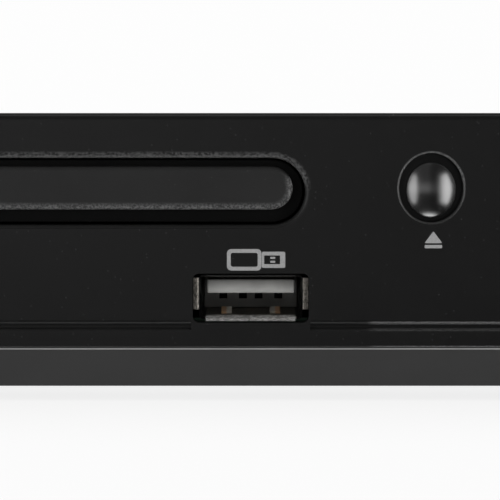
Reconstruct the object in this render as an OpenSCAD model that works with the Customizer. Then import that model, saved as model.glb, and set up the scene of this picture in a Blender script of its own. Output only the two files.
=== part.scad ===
// Compact disc player with a motor-driven loading tray.
// X runs across the front from left to right, Y runs from the front to the rear, Z is up.
// The origin is on the table, under the middle of the whole player.

/* [Case] */
// Width across the side walls of the cover
case_w = 270; // [266:1:300]
// Depth from the face of the fascia to the rear panel
case_d = 199; // [197:1:230]
// Height of the body without its feet
body_h = 34.5; // [34:0.5:42]
// Thickness of the folded steel sheet
sheet_t = 0.8; // [0.6:0.1:1.2]
// Outer radius of the folds of the cover
fold_r = 1.6; // [1.3:0.1:2.5]
// Height of the side flanges of the chassis
flange_h = 12; // [8:1:16]
// Height of the rubber feet
foot_h = 2; // [1:0.5:4]
// Radius of the rubber feet
foot_r = 9; // [6:0.5:12]
// Distance of the feet from the edges of the case
foot_inset = 24; // [18:1:30]
// Height of the lip of the cover behind the rear panel
rear_lip_h = 7; // [6.5:0.5:9]

/* [Fascia] */
// Wall of the moulded fascia
panel_wall = 2.4; // [2:0.1:3]
// Depth of the fascia from its face to its rear rim
panel_depth = 8; // [7.5:0.5:9]
// Radius of the long edges of the fascia
panel_edge_r = 0.9; // [0.5:0.1:1.5]
// Radius of the edge of the fascia over the bright strip
chin_edge_r = 0.2; // [0.1:0.1:0.8]
// Radius of the upright corners of the fascia
panel_corner_r = 1.2; // [0.8:0.1:1.9]
// Height of the painted lower trim
trim_h = 4.63; // [4:0.1:5.5]
// Height of the bright strip between the trim and the fascia
strip_h = 0.31; // [0.2:0.01:0.6]
// Height of the chin of the fascia under its groove
chin_h = 2.39; // [2:0.1:3]
// Height of the groove across the foot of the fascia
groove_h = 0.44; // [0.3:0.01:0.6]
// Depth of that groove
groove_depth = 0.7; // [0.4:0.1:1]
// Radius where the fascia turns into the groove
groove_edge_r = 0.6; // [0.3:0.1:0.8]

/* [Tray opening] */
// Distance of the tray's centre line left of the middle of the case
loader_offset = 41; // [38:1:44]
// Length of the tray opening
opening_w = 142; // [140:1:146]
// Height of the tray opening
opening_h = 8.43; // [8:0.1:9]
// Height of the middle of the tray opening above the bottom of the body
opening_level = 24.63; // [24.3:0.1:25.2]
// Radius of the lip round the tray opening
opening_lip_r = 0.6; // [0.3:0.1:0.9]
// Height of the raised bar on the tray front
bar_h = 5.46; // [4.5:0.1:6]
// Distance between the end of the bar and the end of the opening
bar_end_gap = 1.56; // [1.2:0.1:2.5]
// Height of the bar's middle above the middle of the opening
bar_rise = 0.42; // [0:0.1:0.5]
// Set-back of the bar behind the face of the fascia
bar_set_back = 0.4; // [0:0.1:1]
// Radius of the bar's front edge
bar_edge_r = 0.7; // [0.4:0.1:1.2]
// Set-back of the plate behind the bar
plate_set_back = 2.6; // [2.2:0.1:3]
// Thickness of that plate
plate_t = 2; // [1.5:0.1:2.5]
// Clearance round the plate in the opening
plate_gap = 0.3; // [0.2:0.05:0.5]

/* [Keys] */
// Width of a key
key_w = 6.2; // [5.5:0.1:6.6]
// Height of a key over its width
key_oval = 1.12; // [1:0.01:1.15]
// Width of the well round a key
well_w = 8.1; // [7.6:0.1:9]
// Height of the well over its width
well_oval = 1.08; // [1:0.01:1.12]
// Radius of the rolled lip of the well
well_lip_r = 0.3; // [0.2:0.1:0.6]
// Height of the wells above the bottom of the body
key_level = 25.1; // [24:0.1:26]
// Drop of a key below the middle of its well
key_drop = 0.3; // [0:0.1:0.4]
// Height of the key's dome
key_crown = 1.2; // [1:0.1:2]
// Reach of the dome in front of the fascia
key_proud = 0.8; // [0.4:0.1:1.2]
// Travel of a key
key_travel = 0.6; // [0.3:0.1:0.8]
// Distance from the data socket to the first key
first_key_offset = 22.75; // [20:0.25:24]
// Distance between two keys
key_pitch = 15.5; // [13:0.5:17]
// Distance of the power key from the right side of the case
power_inset = 13; // [12:0.5:15]
// Distance of the remote receiver from the right side of the case
receiver_inset = 31; // [28:1:33]
// Width of the remote receiver's window
window_w = 16; // [12:1:18]
// Height of that window
window_h = 7; // [6:0.5:9]

/* [Data socket] */
// Distance of the socket from the right end of the tray opening
port_inset = 6.85; // [6:0.05:8]
// Height of the middle of the socket above the bottom of the body
port_level = 11.16; // [11:0.05:11.5]
// Width of the hole in the fascia
port_hole_w = 14.7; // [14.6:0.1:15.5]
// Height of the hole in the fascia
port_hole_h = 6.25; // [6.2:0.05:6.4]
// Width inside the steel shell
port_inner_w = 12.5; // [12:0.1:12.8]
// Height inside the steel shell
port_inner_h = 5.05; // [4.9:0.05:5.1]
// Thickness of the shell's sheet
port_sheet_t = 0.3; // [0.2:0.05:0.35]
// Length of the shell
port_len = 14; // [12:0.5:16]
// Width of the tongue inside
port_tongue_w = 11.1; // [10:0.1:11.4]
// Thickness of the tongue
port_tongue_t = 1.75; // [1.4:0.05:1.9]

/* [Disc tray] */
// Width of the tray
tray_w = 128; // [127:0.5:129]
// Distance from the fascia to the rear end of the tray
tray_end = 172; // [168:1:173]
// Travel of the tray
tray_travel = 132; // [120:1:133]
// Radius of a disc
disc_r = 60; // [60:1:60]
// Clearance round a disc in its well
disc_gap = 1; // [0.5:0.1:1.5]
// Thickness of a disc
disc_t = 1.2; // [1.2:0.1:1.3]
// Radius of the inner well for small discs
small_well_r = 40.7; // [40.5:0.1:41]
// Thickness of the tray's walls
tray_wall = 1.5; // [1.3:0.1:1.7]
// Height of the rim above the floor of the disc well
rim_h = 2.9; // [2.5:0.1:3]
// Height of the runners under the tray
runner_h = 1.8; // [1.6:0.1:1.9]
// Width of the slot for the disc drive
slot_w = 48; // [46:1:50]

/* [Loader] */
// Distance from the fascia to the spindle
spindle_y = 76; // [75:0.5:77]
// Wall of the loader frame
frame_wall = 2; // [1.6:0.1:2.4]
// Gap between the tray's edge and the frame
frame_gap = 1.5; // [1:0.1:2]
// Distance from the fascia to the rear of the frame
frame_end = 177; // [176:1:179]
// Running gap between plastic parts that slide on each other
slide_gap = 0.4; // [0.3:0.05:0.5]
// Height that the turntable lifts a disc off the tray
disc_lift = 2; // [1.8:0.1:2.2]
// Distance from the fascia to the pivot of the traverse
pivot_y = 158; // [157:0.5:159]
// Angle by which the traverse drops
traverse_drop = 4.5; // [4:0.1:4.6]
// Travel of the cam slider
cam_travel = 10; // [9:0.5:11]
// Travel of the pickup along its rods
pickup_travel = 34; // [28:1:34]
// Radius of the turntable
turntable_r = 15; // [13:0.5:15.5]
// Radius of the turntable's centring cone
hub_r = 7.3; // [7:0.1:7.4]
// Radius of pins, posts and rods
pin_r = 1.5; // [1.2:0.1:1.6]
// Radial clearance of a part that turns or slides on a pin
bore_gap = 0.06; // [0.03:0.01:0.09]

/* [Gears] */
// Module of the rack and its pinion
rack_module = 1; // [1:0.1:1]
// Teeth of the pinion in the rack
rack_teeth = 16; // [16:1:16]
// Module of the reduction gears
train_module = 0.6; // [0.6:0.1:0.6]
// Teeth of the large reduction gear
wheel_teeth = 40; // [40:1:40]
// Teeth of the small reduction gear
pinion_teeth = 12; // [12:1:12]
// Module of the pickup's gears
feed_module = 0.5; // [0.5:0.1:0.5]
// Teeth of the pickup's large gear
feed_teeth = 36; // [36:1:36]
// Teeth of the pinion in the pickup's rack
feed_pinion_teeth = 12; // [12:1:12]
// Teeth of the feed motor's pinion
feed_motor_teeth = 10; // [10:1:10]
// Play between meshing teeth, in modules
tooth_play = 0.2; // [0.1:0.05:0.25]
// Middle radius of the belt on its large pulley
belt_big_r = 12; // [11.5:0.1:12.2]
// Middle radius of the belt on its small pulley
belt_small_r = 3; // [2.8:0.1:3.2]
// Thickness of the belt
belt_t = 1; // [0.8:0.1:1.2]
// Distance between the two pulleys
belt_len = 30; // [28:0.5:32]

/* [Boards and rear sockets] */
// Thickness of the circuit boards
board_t = 1.6; // [1.2:0.1:2]
// Height of the posts under the boards
post_h = 4; // [3:0.5:5]
// Radius of those posts
post_r = 3; // [2.5:0.1:3.5]
// Radius of the shank of the screws
screw_r = 1.4; // [1.2:0.1:1.5]
// Radius of the head of the screws
screw_head_r = 2.8; // [2.4:0.1:3]
// Height of the head of the screws
screw_head_h = 1.4; // [1:0.1:1.8]
// Distance between two signal jacks
jack_pitch = 14; // [13:0.5:14.5]
// Height of the jacks' middle above the board
jack_level = 6.2; // [6:0.1:7]
// Outer radius of a jack's barrel
barrel_r = 4.15; // [4:0.05:4.2]
// Length of a jack's barrel
barrel_len = 7; // [6:0.5:8]
// Width of the digital video socket
video_w = 15; // [15:0.1:15.5]
// Height of the digital video socket
video_h = 5.6; // [5.5:0.1:6]
// Distance of the mains inlet from the right side of the case
inlet_inset = 15; // [14.5:0.5:18]

/* [Hidden] */
$fn = 48;
eps = 0.05;
far = 400;

// Levels of the case
floor_z = foot_h + sheet_t;
top_z = foot_h + body_h;
roof_z = top_z - sheet_t;
half_w = case_w / 2;
inner_half_w = half_w - sheet_t;
flange_half_w = inner_half_w - sheet_t;
rear_in = case_d - sheet_t;
rear_lip_out = case_d + sheet_t;
jack_collar_out = case_d + 1;
barrel_end = jack_collar_out + barrel_len;
face_y = (key_proud - barrel_end) / 2;
vent_w = 2;
vent_pitch = 5;

// Levels of the fascia
strip_z = foot_h + trim_h;
chin_z = strip_z + strip_h;
groove_z = chin_z + chin_h;
groove_top = groove_z + groove_h;
panel_side_wall = 2;
ledge_depth = 4;
ledge_gap = 0.1;

// The tray opening and the tray in it
loader_x = -loader_offset;
opening_z = foot_h + opening_level;
opening_r = opening_h / 2;
collar_t = 1.2;
plate_back = plate_set_back + plate_t;
tray_base_z = opening_z - opening_r + slide_gap;
tray_under_z = tray_base_z + runner_h;
tray_floor_z = tray_under_z + tray_wall;
tray_rim_z = tray_floor_z + rim_h;
small_well_depth = 0.6;
runner_w = 3;
well_r = disc_r + disc_gap;
well_wall = tray_wall + 0.3;
slot_r = slot_w / 2;
slot_centre_y = spindle_y + 7;
scoop_r = 11;

// Keys and the parts of the fascia's right side
port_x = loader_x + opening_w / 2 - port_inset;
port_z = foot_h + port_level;
key_z = foot_h + key_level;
eject_x = port_x + first_key_offset;
play_x = eject_x + key_pitch;
stop_x = play_x + key_pitch;
power_x = half_w - power_inset;
receiver_x = half_w - receiver_inset;
key_flange_w = well_w + 2.4;
key_flange_y = panel_wall + 0.3;
key_flange_t = 1;
plunger_gap = 0.3;
key_board_y = panel_depth + 1;
switch_h = 2;
plunger_len = 0.7;
key_stem_end = key_board_y - switch_h - plunger_len - plunger_gap - key_travel;
key_board_low = port_z - 1;
key_board_high = key_z + 5;
board_boss_r = 2.2;
light_z = key_z - 11;
light_r = 1;

// The data socket
port_front = 0.7;
port_inner_z = port_z - port_inner_h / 2 + 0.06;
side_lip_w = 3.8;
side_roll_r = 1.4;
port_tongue_z = port_inner_z + 2.95;
port_board_z = port_inner_z - port_sheet_t - board_t;
port_board_w = 19;
port_board_end = 21;
port_boss_w = 15.1;
contact_pitch = 2;

// The frame of the loader
frame_half = tray_w / 2 + frame_gap + frame_wall;
frame_low = floor_z + 1.5;
disc_seat_z = tray_floor_z + disc_lift;
frame_top = disc_seat_z + disc_t + 1.4;
ledge_top = tray_base_z - slide_gap;
ledge_t = 1.3;
frame_start = panel_depth + 1;
deck_end = 44;
cross_t = 2;
rear_deck_start = 150;
rear_deck_t = 2;
ear_y = [deck_end - 4, frame_end - 12];
ear_reach = 7.5;
ear_z = floor_z + 5.2;
damper_h = 2;
damper_r = ear_reach / 2 - 0.35;
bridge_t = 1.2;
bridge_y = [spindle_y - 18, spindle_y + 18];
bridge_hole_r = 11;
tab_len = 8;

// The loading gears, from the tray down
rack_face_gap = 0.3;
rack_gear_y = 29;
rack_gear_r = rack_teeth * rack_module / 2;
wheel_r = wheel_teeth * train_module / 2;
pinion_r = pinion_teeth * train_module / 2;
rack_gear_x = loader_x - 39;
pulley_x = rack_gear_x + wheel_r + pinion_r;
loading_motor_x = pulley_x + belt_len;
rack_pinion_top = tray_under_z - rack_face_gap;
rack_pinion_t = 2.8;
wheel_top = rack_pinion_top - rack_pinion_t;
wheel_t = 1.6;
pulley_top = wheel_top - wheel_t - slide_gap;
pulley_t = 2.2;
deck_z = pulley_top - pulley_t - slide_gap;
deck_t = 1.6;
belt_w = 1.2;
belt_z = pulley_top - (pulley_t + belt_w) / 2;
belt_seat_gap = 0.15;
groove_r = belt_big_r - belt_t / 2 - belt_seat_gap;
small_groove_r = belt_small_r - belt_t / 2 - belt_seat_gap;
pulley_lip = 1.45;
post_boss_r = 2.2;
loading_motor_r = 10;
loading_motor_h = 10;
motor_shaft_r = 0.8;
rack_back = 3.2;
rack_start = rack_gear_y - 6;
rack_count = 46;

// The traverse, which carries the disc drive
plate_z = disc_seat_z - 10.7;
plate_h = 2;
plate_top = plate_z + plate_h;
pivot_z = plate_z + plate_h / 2;
base_half = 36;
base_start = 56;
base_end = pivot_y + 3;
window_half = 27;
window_start = 91;
window_end = 150;
rib_t = 1.6;
rib_h = 1.6;
ear_gap = 1;
ear_t = 4;
cam_gap = 0.6;
cam_y = deck_end + cross_t + cam_gap;
cam_t = 2;
cam_pin_x = 20;
cam_low = frame_low + 1.9;
cam_high = wheel_top - wheel_t - 0.4;
cam_drop = (pivot_y - cam_y - cam_t / 2) * sin(traverse_drop);
cam_slot_r = pin_r + 0.35;
spindle_motor_r = 12.5;
spindle_motor_h = 5.9;
spindle_shaft_r = 1;
turntable_z = plate_top + spindle_motor_h + 0.6;
pad_t = 0.3;
hub_h = 2.1;

// The pickup and its drive
feed_pinion_top = plate_z - slide_gap;
feed_pinion_t = 1.9;
rod_x = 22;
rod_start = window_start - 3.2;
rod_end = window_end + 3.2;
pickup_half = 25.5;
pickup_start = window_start + 0.6;
pickup_len = 22.4;
pickup_low = feed_pinion_top - feed_pinion_t;
pickup_top = pivot_z + 4;
lens_y = spindle_y + 24;
lens_top = disc_seat_z - 1.6;
feed_rack_x = pickup_half + 2;
feed_rack_start = pickup_start - 2.6;
feed_pinion_r = feed_pinion_teeth * feed_module / 2;
feed_wheel_r = feed_teeth * feed_module / 2;
feed_motor_pinion_r = feed_motor_teeth * feed_module / 2;
feed_gear_x = feed_rack_x + feed_pinion_r;
feed_pitch = PI * feed_module;
feed_rack_count = ceil(pickup_travel / feed_pitch) + 2;
feed_gear_y = feed_rack_start + (feed_rack_count - 1) * feed_pitch;
feed_motor_x = feed_gear_x + feed_wheel_r + feed_motor_pinion_r;
feed_wheel_t = 1.5;
feed_wheel_z = feed_pinion_top - feed_pinion_t - feed_wheel_t;
feed_motor_r = 7;
feed_motor_h = 4.6;

// Boards and sockets
board_z = floor_z + post_h;
board_top = board_z + board_t;
main_x = [loader_x + frame_half + ear_reach + 4, half_w - 35];
board_rear_gap = 7;
main_y = [case_d - board_rear_gap - 112, case_d - board_rear_gap];
power_x_range = [half_w - 31, half_w - 4];
power_y = [case_d - board_rear_gap - 88, case_d - board_rear_gap];
main_mid_x = (main_x[0] + main_x[1]) / 2;
power_mid_x = (power_x_range[0] + power_x_range[1]) / 2;
post_inset = 4;
jack_z = board_top + jack_level;
first_jack_x = main_x[0] + 6.5;
video_x = first_jack_x + 2 * jack_pitch + 14;
inlet_x = half_w - inlet_inset;
inlet_z = board_top + 7;
jack_body_len = 12;
jack_start = rear_in - jack_body_len;

// ---------------------------------------------------------------- helpers

// Puts y = 0 on the face of the fascia.
module from_face() {
    translate([0, face_y, 0]) children();
}

// Puts x = 0 on the centre line of the tray as well.
module from_loader() {
    translate([loader_x, face_y, 0]) children();
}

// A box between two values on each axis.
module block(x, y, z) {
    translate([x[0], y[0], z[0]]) cube([x[1] - x[0], y[1] - y[0], z[1] - z[0]]);
}

// An upright cylinder between two heights.
module post(x, y, z, r) {
    translate([x, y, z[0]]) cylinder(h = z[1] - z[0], r = r);
}

// Children and their mirror image across x = 0.
module both_sides() {
    for (side = [0, 1]) mirror([side, 0, 0]) children();
}

// A rectangle with round corners, centred.
module round_rect(w, h, r) {
    square([w - 2 * r, h], center = true);
    square([w, h - 2 * r], center = true);
    for (x = [-1, 1], y = [-1, 1]) translate([x * (w / 2 - r), y * (h / 2 - r)]) circle(r);
}

// A bar with round ends, centred.
module stadium(w, h) {
    square([w - h, h], center = true);
    for (x = [-1, 1]) translate([x * (w - h) / 2, 0]) circle(h / 2);
}

// Extrudes a drawing in the plane of the fascia from y0 back to y1.
module through(y0, y1) {
    translate([0, y1, 0]) rotate([90, 0, 0]) linear_extrude(y1 - y0) children();
}

// Sweeps a profile round a stadium in the plane of the fascia. The profile's
// first axis points outwards from the middle line, its second to the front.
module round_stadium(w, r) {
    reach = w / 2 - r;
    rotate([90, 0, 0]) {
        both_sides() translate([reach, 0, 0]) rotate_extrude(angle = 180, start = -90) children();
        for (side = [0, 1]) mirror([0, side, 0])
            rotate([90, 0, 90]) linear_extrude(2 * reach, center = true) children();
    }
}

// Extrudes an outline drawn in Y and Z across the case.
module across(x) {
    translate([x[0], 0, 0]) rotate([90, 0, 90]) linear_extrude(x[1] - x[0]) children();
}

// The groove that a round edge of radius r leaves beside a straight cut.
module edge_cut(r) {
    difference() {
        translate([-eps, -eps]) square(r + eps);
        translate([r, r]) circle(r);
    }
}

// ------------------------------------------------------------ gear outlines

pressure = 20;
addendum = 0.8;
dedendum = 1.1;
function polar(r, a) = [r * cos(a), r * sin(a)];
function roll(a) = tan(a) * 180 / PI - a;
// Half of the angle that a tooth fills at radius r
function tooth_half(n, m, r) =
    let (base = n * m / 2 * cos(pressure))
    90 / n - tooth_play / 2 / n * 180 / PI + roll(pressure) - roll(acos(min(1, base / r)));
function gear_points(n, m, turn) =
    let (p = n * m / 2, radii = [p - dedendum * m, p, p + addendum * m])
    [for (i = [0 : n - 1], side = [-1, 1], k = [0 : 2])
        let (r = radii[side < 0 ? k : 2 - k])
        polar(r, turn + i * 360 / n + side * tooth_half(n, m, r))];
// Half of the width of a rack's tooth at height v over the pitch line
function rack_half(m, v) = PI * m / 4 - tooth_play * m / 4 - v * tan(pressure);
function rack_points(count, m, back) =
    concat([[0, -back]],
        [for (i = [0 : count - 1], side = [-1, 1], low = [0, 1])
            let (v = (side < 0) == (low == 0) ? -dedendum * m : addendum * m)
            [(i + 0.5) * PI * m + side * rack_half(m, v), v]],
        [[count * PI * m, -back]]);

// A spur gear from z0 up, with a tooth at the angle turn.
module spur(n, m, z, h, turn = 0) {
    translate([0, 0, z]) linear_extrude(h) polygon(gear_points(n, m, turn));
}

// A rack along Y whose teeth point to +X. Its gap lies at y = 0 of the first tooth.
module rack(count, m, back, h) {
    linear_extrude(h) mirror([1, 0]) rotate(90) polygon(rack_points(count, m, back));
}

// -------------------------------------------------------------------- case

loader_ears = [for (x = [-1, 1], y = ear_y) [loader_x + x * (frame_half + ear_reach / 2), y]];
main_posts = [for (x = [main_x[0] + post_inset, main_x[1] - post_inset],
    y = [main_y[0] + post_inset, main_y[1] - 14]) [x, y]];
power_posts = [for (x = [power_x_range[0] + post_inset, power_x_range[1] - post_inset],
    y = [power_y[0] + post_inset, power_y[1] - 22]) [x, y]];
port_posts = [for (x = [-1, 1]) [port_x + x * 6, 17]];
side_screw_y = [40, case_d - 29];
side_screw_z = floor_z + 6;
rear_screw_x = [-half_w + 25, 0, half_w - 25];
rear_screw_z = top_z - rear_lip_h / 2;

// A row of stadium slots across the floor.
module vent_row(x0, count, y, len) {
    for (i = [0 : count - 1]) translate([x0 + i * vent_pitch, y, 0])
        linear_extrude(far) rotate(90) stadium(len, vent_w);
}

module bottom_chassis() {
    color("silver") from_face() difference() {
        union() {
            block([-inner_half_w, inner_half_w], [panel_depth, rear_in], [foot_h, floor_z]);
            both_sides() block([flange_half_w, inner_half_w], [panel_depth, rear_in],
                [floor_z, floor_z + flange_h]);
            block([-flange_half_w, flange_half_w], [panel_depth, panel_depth + sheet_t],
                [floor_z, port_board_z - 1]);
        }
        for (y = side_screw_y) translate([0, y, side_screw_z])
            rotate([0, 90, 0]) cylinder(h = far, r = screw_r + bore_gap, center = true);
        for (y = [36, 66]) vent_row(main_x[0] + 14, 6, main_y[0] + y, 22);
        vent_row(-half_w + 8, 3, 100, 30);
    }
}

// Threaded posts that stand on the chassis and carry the loader and the boards.
module board_posts() {
    color("gold") from_face() for (group = [[loader_ears, ear_z - damper_h],
        [concat(main_posts, power_posts), board_z], [port_posts, port_board_z]])
        for (p = group[0]) difference() {
            post(p[0], p[1], [floor_z, group[1]], post_r);
            post(p[0], p[1], [floor_z + sheet_t, far], screw_r + bore_gap);
        }
}

// The fold of the cover: a rectangle whose two upper corners are round.
module cover_outline(w, h, r) {
    translate([-w / 2, 0]) square([w, h - r]);
    translate([-w / 2 + r, 0]) square([w - 2 * r, h]);
    for (x = [-1, 1]) translate([x * (w / 2 - r), h - r]) circle(r);
}

module top_cover() {
    color("dimgray") from_face() difference() {
        union() {
            translate([0, 0, foot_h]) through(panel_depth, rear_lip_out)
                difference() {
                    cover_outline(case_w, body_h, fold_r);
                    translate([0, -eps]) cover_outline(2 * inner_half_w, body_h - sheet_t + eps,
                        fold_r - sheet_t);
                }
            block([-half_w + fold_r, half_w - fold_r], [case_d, rear_lip_out],
                [top_z - rear_lip_h, roof_z]);
        }
        for (y = side_screw_y) translate([0, y, side_screw_z])
            rotate([0, 90, 0]) cylinder(h = far, r = screw_r + bore_gap, center = true);
        for (x = rear_screw_x) translate([x, case_d, rear_screw_z])
            rotate([90, 0, 0]) cylinder(h = 9, r = screw_r + bore_gap, center = true);
        // Vents in both side walls
        for (i = [0 : 11]) translate([0, case_d - 66 + i * vent_pitch, floor_z + flange_h + 9])
            rotate([0, 90, 0]) linear_extrude(far, center = true) stadium(12, vent_w);
    }
}

module rear_panel() {
    color("gray") from_face() difference() {
        union() {
            block([-flange_half_w, flange_half_w], [rear_in, case_d], [floor_z, roof_z]);
            both_sides() block([flange_half_w - sheet_t, flange_half_w], [rear_in - 8, rear_in],
                [floor_z, roof_z - 2]);
        }
        for (x = rear_screw_x) translate([x, case_d, rear_screw_z])
            rotate([90, 0, 0]) cylinder(h = 9, r = screw_r + bore_gap, center = true);
        for (i = [0 : 2]) translate([first_jack_x + i * jack_pitch, case_d, jack_z])
            rotate([90, 0, 0]) cylinder(h = 9, r = barrel_r + 0.95, center = true);
        translate([video_x, 0, board_top + video_h / 2]) through(rear_in - 1, case_d + 1)
            round_rect(video_w + 0.6, video_h + 0.6, 0.8);
        translate([inlet_x, 0, inlet_z]) through(rear_in - 1, case_d + 1) round_rect(20.8, 13.4, 1);
        // Vents behind the loader
        for (i = [0 : 13]) translate([loader_x - 35 + i * vent_pitch, 0, opening_z - 3])
            through(rear_in - 1, case_d + 1) rotate(90) stadium(12, vent_w);
    }
}

module feet() {
    color("black") from_face()
        for (x = [-1, 1] * (half_w - foot_inset), y = [foot_inset, case_d - foot_inset])
            translate([x, y, 0]) rotate_extrude() {
                square([foot_r - 0.8, foot_h]);
                translate([0, 0.8]) square([foot_r, foot_h - 0.8]);
                translate([foot_r - 0.8, 0.8]) circle(0.8);
            }
}

// A pan head screw whose head rests on z = 0 and whose shank goes down by len.
module screw(len) {
    difference() {
        union() {
            translate([0, 0, -len]) cylinder(h = len + eps, r = screw_r);
            cylinder(h = screw_head_h, r1 = screw_head_r, r2 = screw_head_r * 0.75);
        }
        for (turn = [0, 90]) rotate(turn)
            translate([0, 0, screw_head_h]) cube([screw_r * 2, 0.6, 1.2], center = true);
    }
}

module cover_screws() {
    color("black") from_face() {
        both_sides() for (y = side_screw_y) translate([half_w, y, side_screw_z])
            rotate([0, 90, 0]) screw(3.5);
        for (x = rear_screw_x) translate([x, rear_lip_out, rear_screw_z])
            rotate([-90, 0, 0]) screw(5);
    }
}

module inner_screws() {
    color("silver") from_face() {
        for (p = loader_ears) translate([p[0], p[1], ear_z + 2]) screw(6);
        for (p = concat(main_posts, power_posts)) translate([p[0], p[1], board_top]) screw(4.5);
        for (p = port_posts) translate([p[0], p[1], port_board_z + board_t]) screw(4.6);
        for (p = key_board_bosses) translate([p[0], key_board_y + board_t, p[1]])
            rotate([-90, 0, 0]) screw(5);
    }
}

// ------------------------------------------------------------------ fascia

key_board_x = [eject_x - 9.5, power_x + 8];
key_board_bosses = [for (x = [key_board_x[0] + 3, (eject_x + power_x) / 2, key_board_x[1] - 3])
    [x, key_board_low + 3]];

// A hook of the fascia that reaches over the front flange of the chassis.
hook_x = [loader_x - frame_half - 8, loader_x, eject_x, power_x - 4];
module hook(x) {
    tip = [panel_depth + sheet_t + 0.15, panel_depth + sheet_t + 1.2];
    block([x - 3, x + 3], [panel_depth - 4, tip[1]], [chin_z + 1, chin_z + 2.4]);
    block([x - 3, x + 3], tip, [chin_z, chin_z + 1 + eps]);
}

// The outline of the fascia seen from above, with round front corners.
module panel_plan(w, d) {
    translate([-w / 2, panel_corner_r]) square([w, d - panel_corner_r]);
    translate([-w / 2 + panel_corner_r, 0]) square([w - 2 * panel_corner_r, d]);
    for (x = [-1, 1]) translate([x * (w / 2 - panel_corner_r), panel_corner_r]) circle(panel_corner_r);
}

// The fascia in section, with its long front edges rounded.
module panel_section(h) {
    r = panel_edge_r;
    low = chin_edge_r;
    translate([r, low]) square([panel_depth - r, h - low]);
    translate([low, 0]) square([panel_depth - low, h - r]);
    translate([0, low]) square([panel_depth, h - r - low]);
    translate([r, h - r]) circle(r);
    translate([low, low]) circle(low);
}

// The groove in section, with both of its edges rounded.
module groove_section() {
    translate([-1, groove_z]) square([groove_depth + 1, groove_h]);
    translate([0, groove_top]) edge_cut(groove_edge_r);
    translate([0, groove_z]) mirror([0, 1]) edge_cut(groove_edge_r * 0.8);
}

// The well round a key, with a rolled lip at its mouth.
module key_well(x) {
    lip = well_lip_r;
    translate([x, 0, key_z]) scale([1, 1, well_oval]) rotate([90, 0, 0]) rotate_extrude() {
        translate([0, -panel_wall - 1]) square([well_w / 2, panel_wall + 2]);
        difference() {
            translate([0, -lip]) square([well_w / 2 + lip, lip + eps]);
            translate([well_w / 2 + lip, -lip]) circle(lip);
        }
    }
}

module front_panel() {
    color([0.09, 0.09, 0.1]) from_face() difference() {
        union() {
            difference() {
                intersection() {
                    across([-half_w, half_w]) translate([0, chin_z]) panel_section(top_z - chin_z);
                    linear_extrude(far) panel_plan(case_w, panel_depth);
                }
                block([-half_w + panel_side_wall, half_w - panel_side_wall], [panel_wall, far],
                    [chin_z + 1.4, top_z - panel_side_wall]);
            }
            // Ledge under the front edge of the cover
            block([-inner_half_w + fold_r, inner_half_w - fold_r], [panel_depth - eps, panel_depth + ledge_depth],
                [top_z - panel_side_wall, roof_z - ledge_gap]);
            // Collar behind the tray opening
            translate([loader_x, 0, opening_z]) through(panel_wall - eps, plate_back + 0.4)
                stadium(opening_w + 2 * collar_t, opening_h + 2 * collar_t);
            for (p = key_board_bosses) translate([p[0], 0, p[1]])
                through(panel_wall - eps, key_board_y) circle(board_boss_r);
            for (x = hook_x) hook(x);
        }
        translate([loader_x, 0, opening_z]) {
            through(-1, far) stadium(opening_w, opening_h);
            round_stadium(opening_w, opening_r) difference() {
                translate([opening_r - eps, -opening_lip_r]) square([opening_lip_r + eps, opening_lip_r + eps]);
                translate([opening_r + opening_lip_r, -opening_lip_r]) circle(opening_lip_r);
            }
        }
        for (x = [eject_x, play_x, stop_x, power_x]) key_well(x);
        translate([port_x, 0, port_z]) through(-1, panel_wall + 1) round_rect(port_hole_w, port_hole_h, 0.8);
        translate([receiver_x, 0, key_z]) {
            through(-1, 1.2) round_rect(window_w, window_h, 1.5);
            through(-1, panel_wall + 1) round_rect(window_w - 3, window_h - 3, 0.8);
        }
        translate([power_x, 0, light_z]) through(-1, panel_wall + 1) circle(light_r + bore_gap);
        across([-half_w - 1, port_x - port_boss_w / 2]) groove_section();
        across([port_x + port_boss_w / 2, half_w + 1]) groove_section();
        for (p = key_board_bosses) translate([p[0], 0, p[1]])
            through(panel_wall + 1.6, far) circle(screw_r + bore_gap);
    }
}

// A band that follows the front and sides of the fascia between two levels.
module front_band(z, wall, set_back) {
    block_w = case_w - 2 * set_back;
    translate([0, set_back, z[0]]) linear_extrude(z[1] - z[0]) difference() {
        panel_plan(block_w, panel_depth - set_back);
        translate([-block_w / 2 + wall, wall]) square([block_w - 2 * wall, far]);
    }
}

module accent_strip() {
    color("silver") from_face() front_band([strip_z, chin_z], 2.2, 0.1);
}

module lower_trim() {
    color([0.24, 0.24, 0.25]) from_face() {
        front_band([foot_h, strip_z], 1.8, 0.15);
        block([-half_w + 3, half_w - 3], [1.8, panel_depth], [foot_h, foot_h + 1.2]);
    }
}

module ir_window() {
    color([0.12, 0.02, 0.03]) from_face() translate([receiver_x, 0, key_z]) {
        through(0.05, 1.2) round_rect(window_w - 0.2, window_h - 0.2, 1.4);
        through(1.2 - eps, panel_wall + 0.6) round_rect(window_w - 3.2, window_h - 3.2, 0.7);
    }
}

module standby_light_pipe() {
    color("red") from_face() translate([power_x, 0, light_z]) through(0.2, key_board_y) circle(light_r);
}

// A domed key with the flange that keeps it behind the fascia and its stem.
module key(x) {
    r = key_w / 2;
    ball = (r * r + key_crown * key_crown) / (2 * key_crown);
    color([0.1, 0.1, 0.11]) from_face() translate([x, 0, key_z - key_drop]) {
        scale([1, 1, key_oval]) rotate([90, 0, 0]) rotate_extrude() {
            intersection() {
                translate([0, key_proud - ball]) circle(ball, $fn = 96);
                translate([0, key_proud - key_crown - eps]) square([r, key_crown + 1]);
            }
            translate([0, -key_flange_y - eps]) square([r, key_flange_y + key_proud - key_crown]);
        }
        through(key_flange_y, key_flange_y + key_flange_t) round_rect(key_flange_w, key_flange_w, 2);
        through(key_flange_y, key_stem_end) circle(pin_r);
    }
}

module eject_button() {
    key(eject_x);
}

module play_button() {
    key(play_x);
}

module stop_button() {
    key(stop_x);
}

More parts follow.
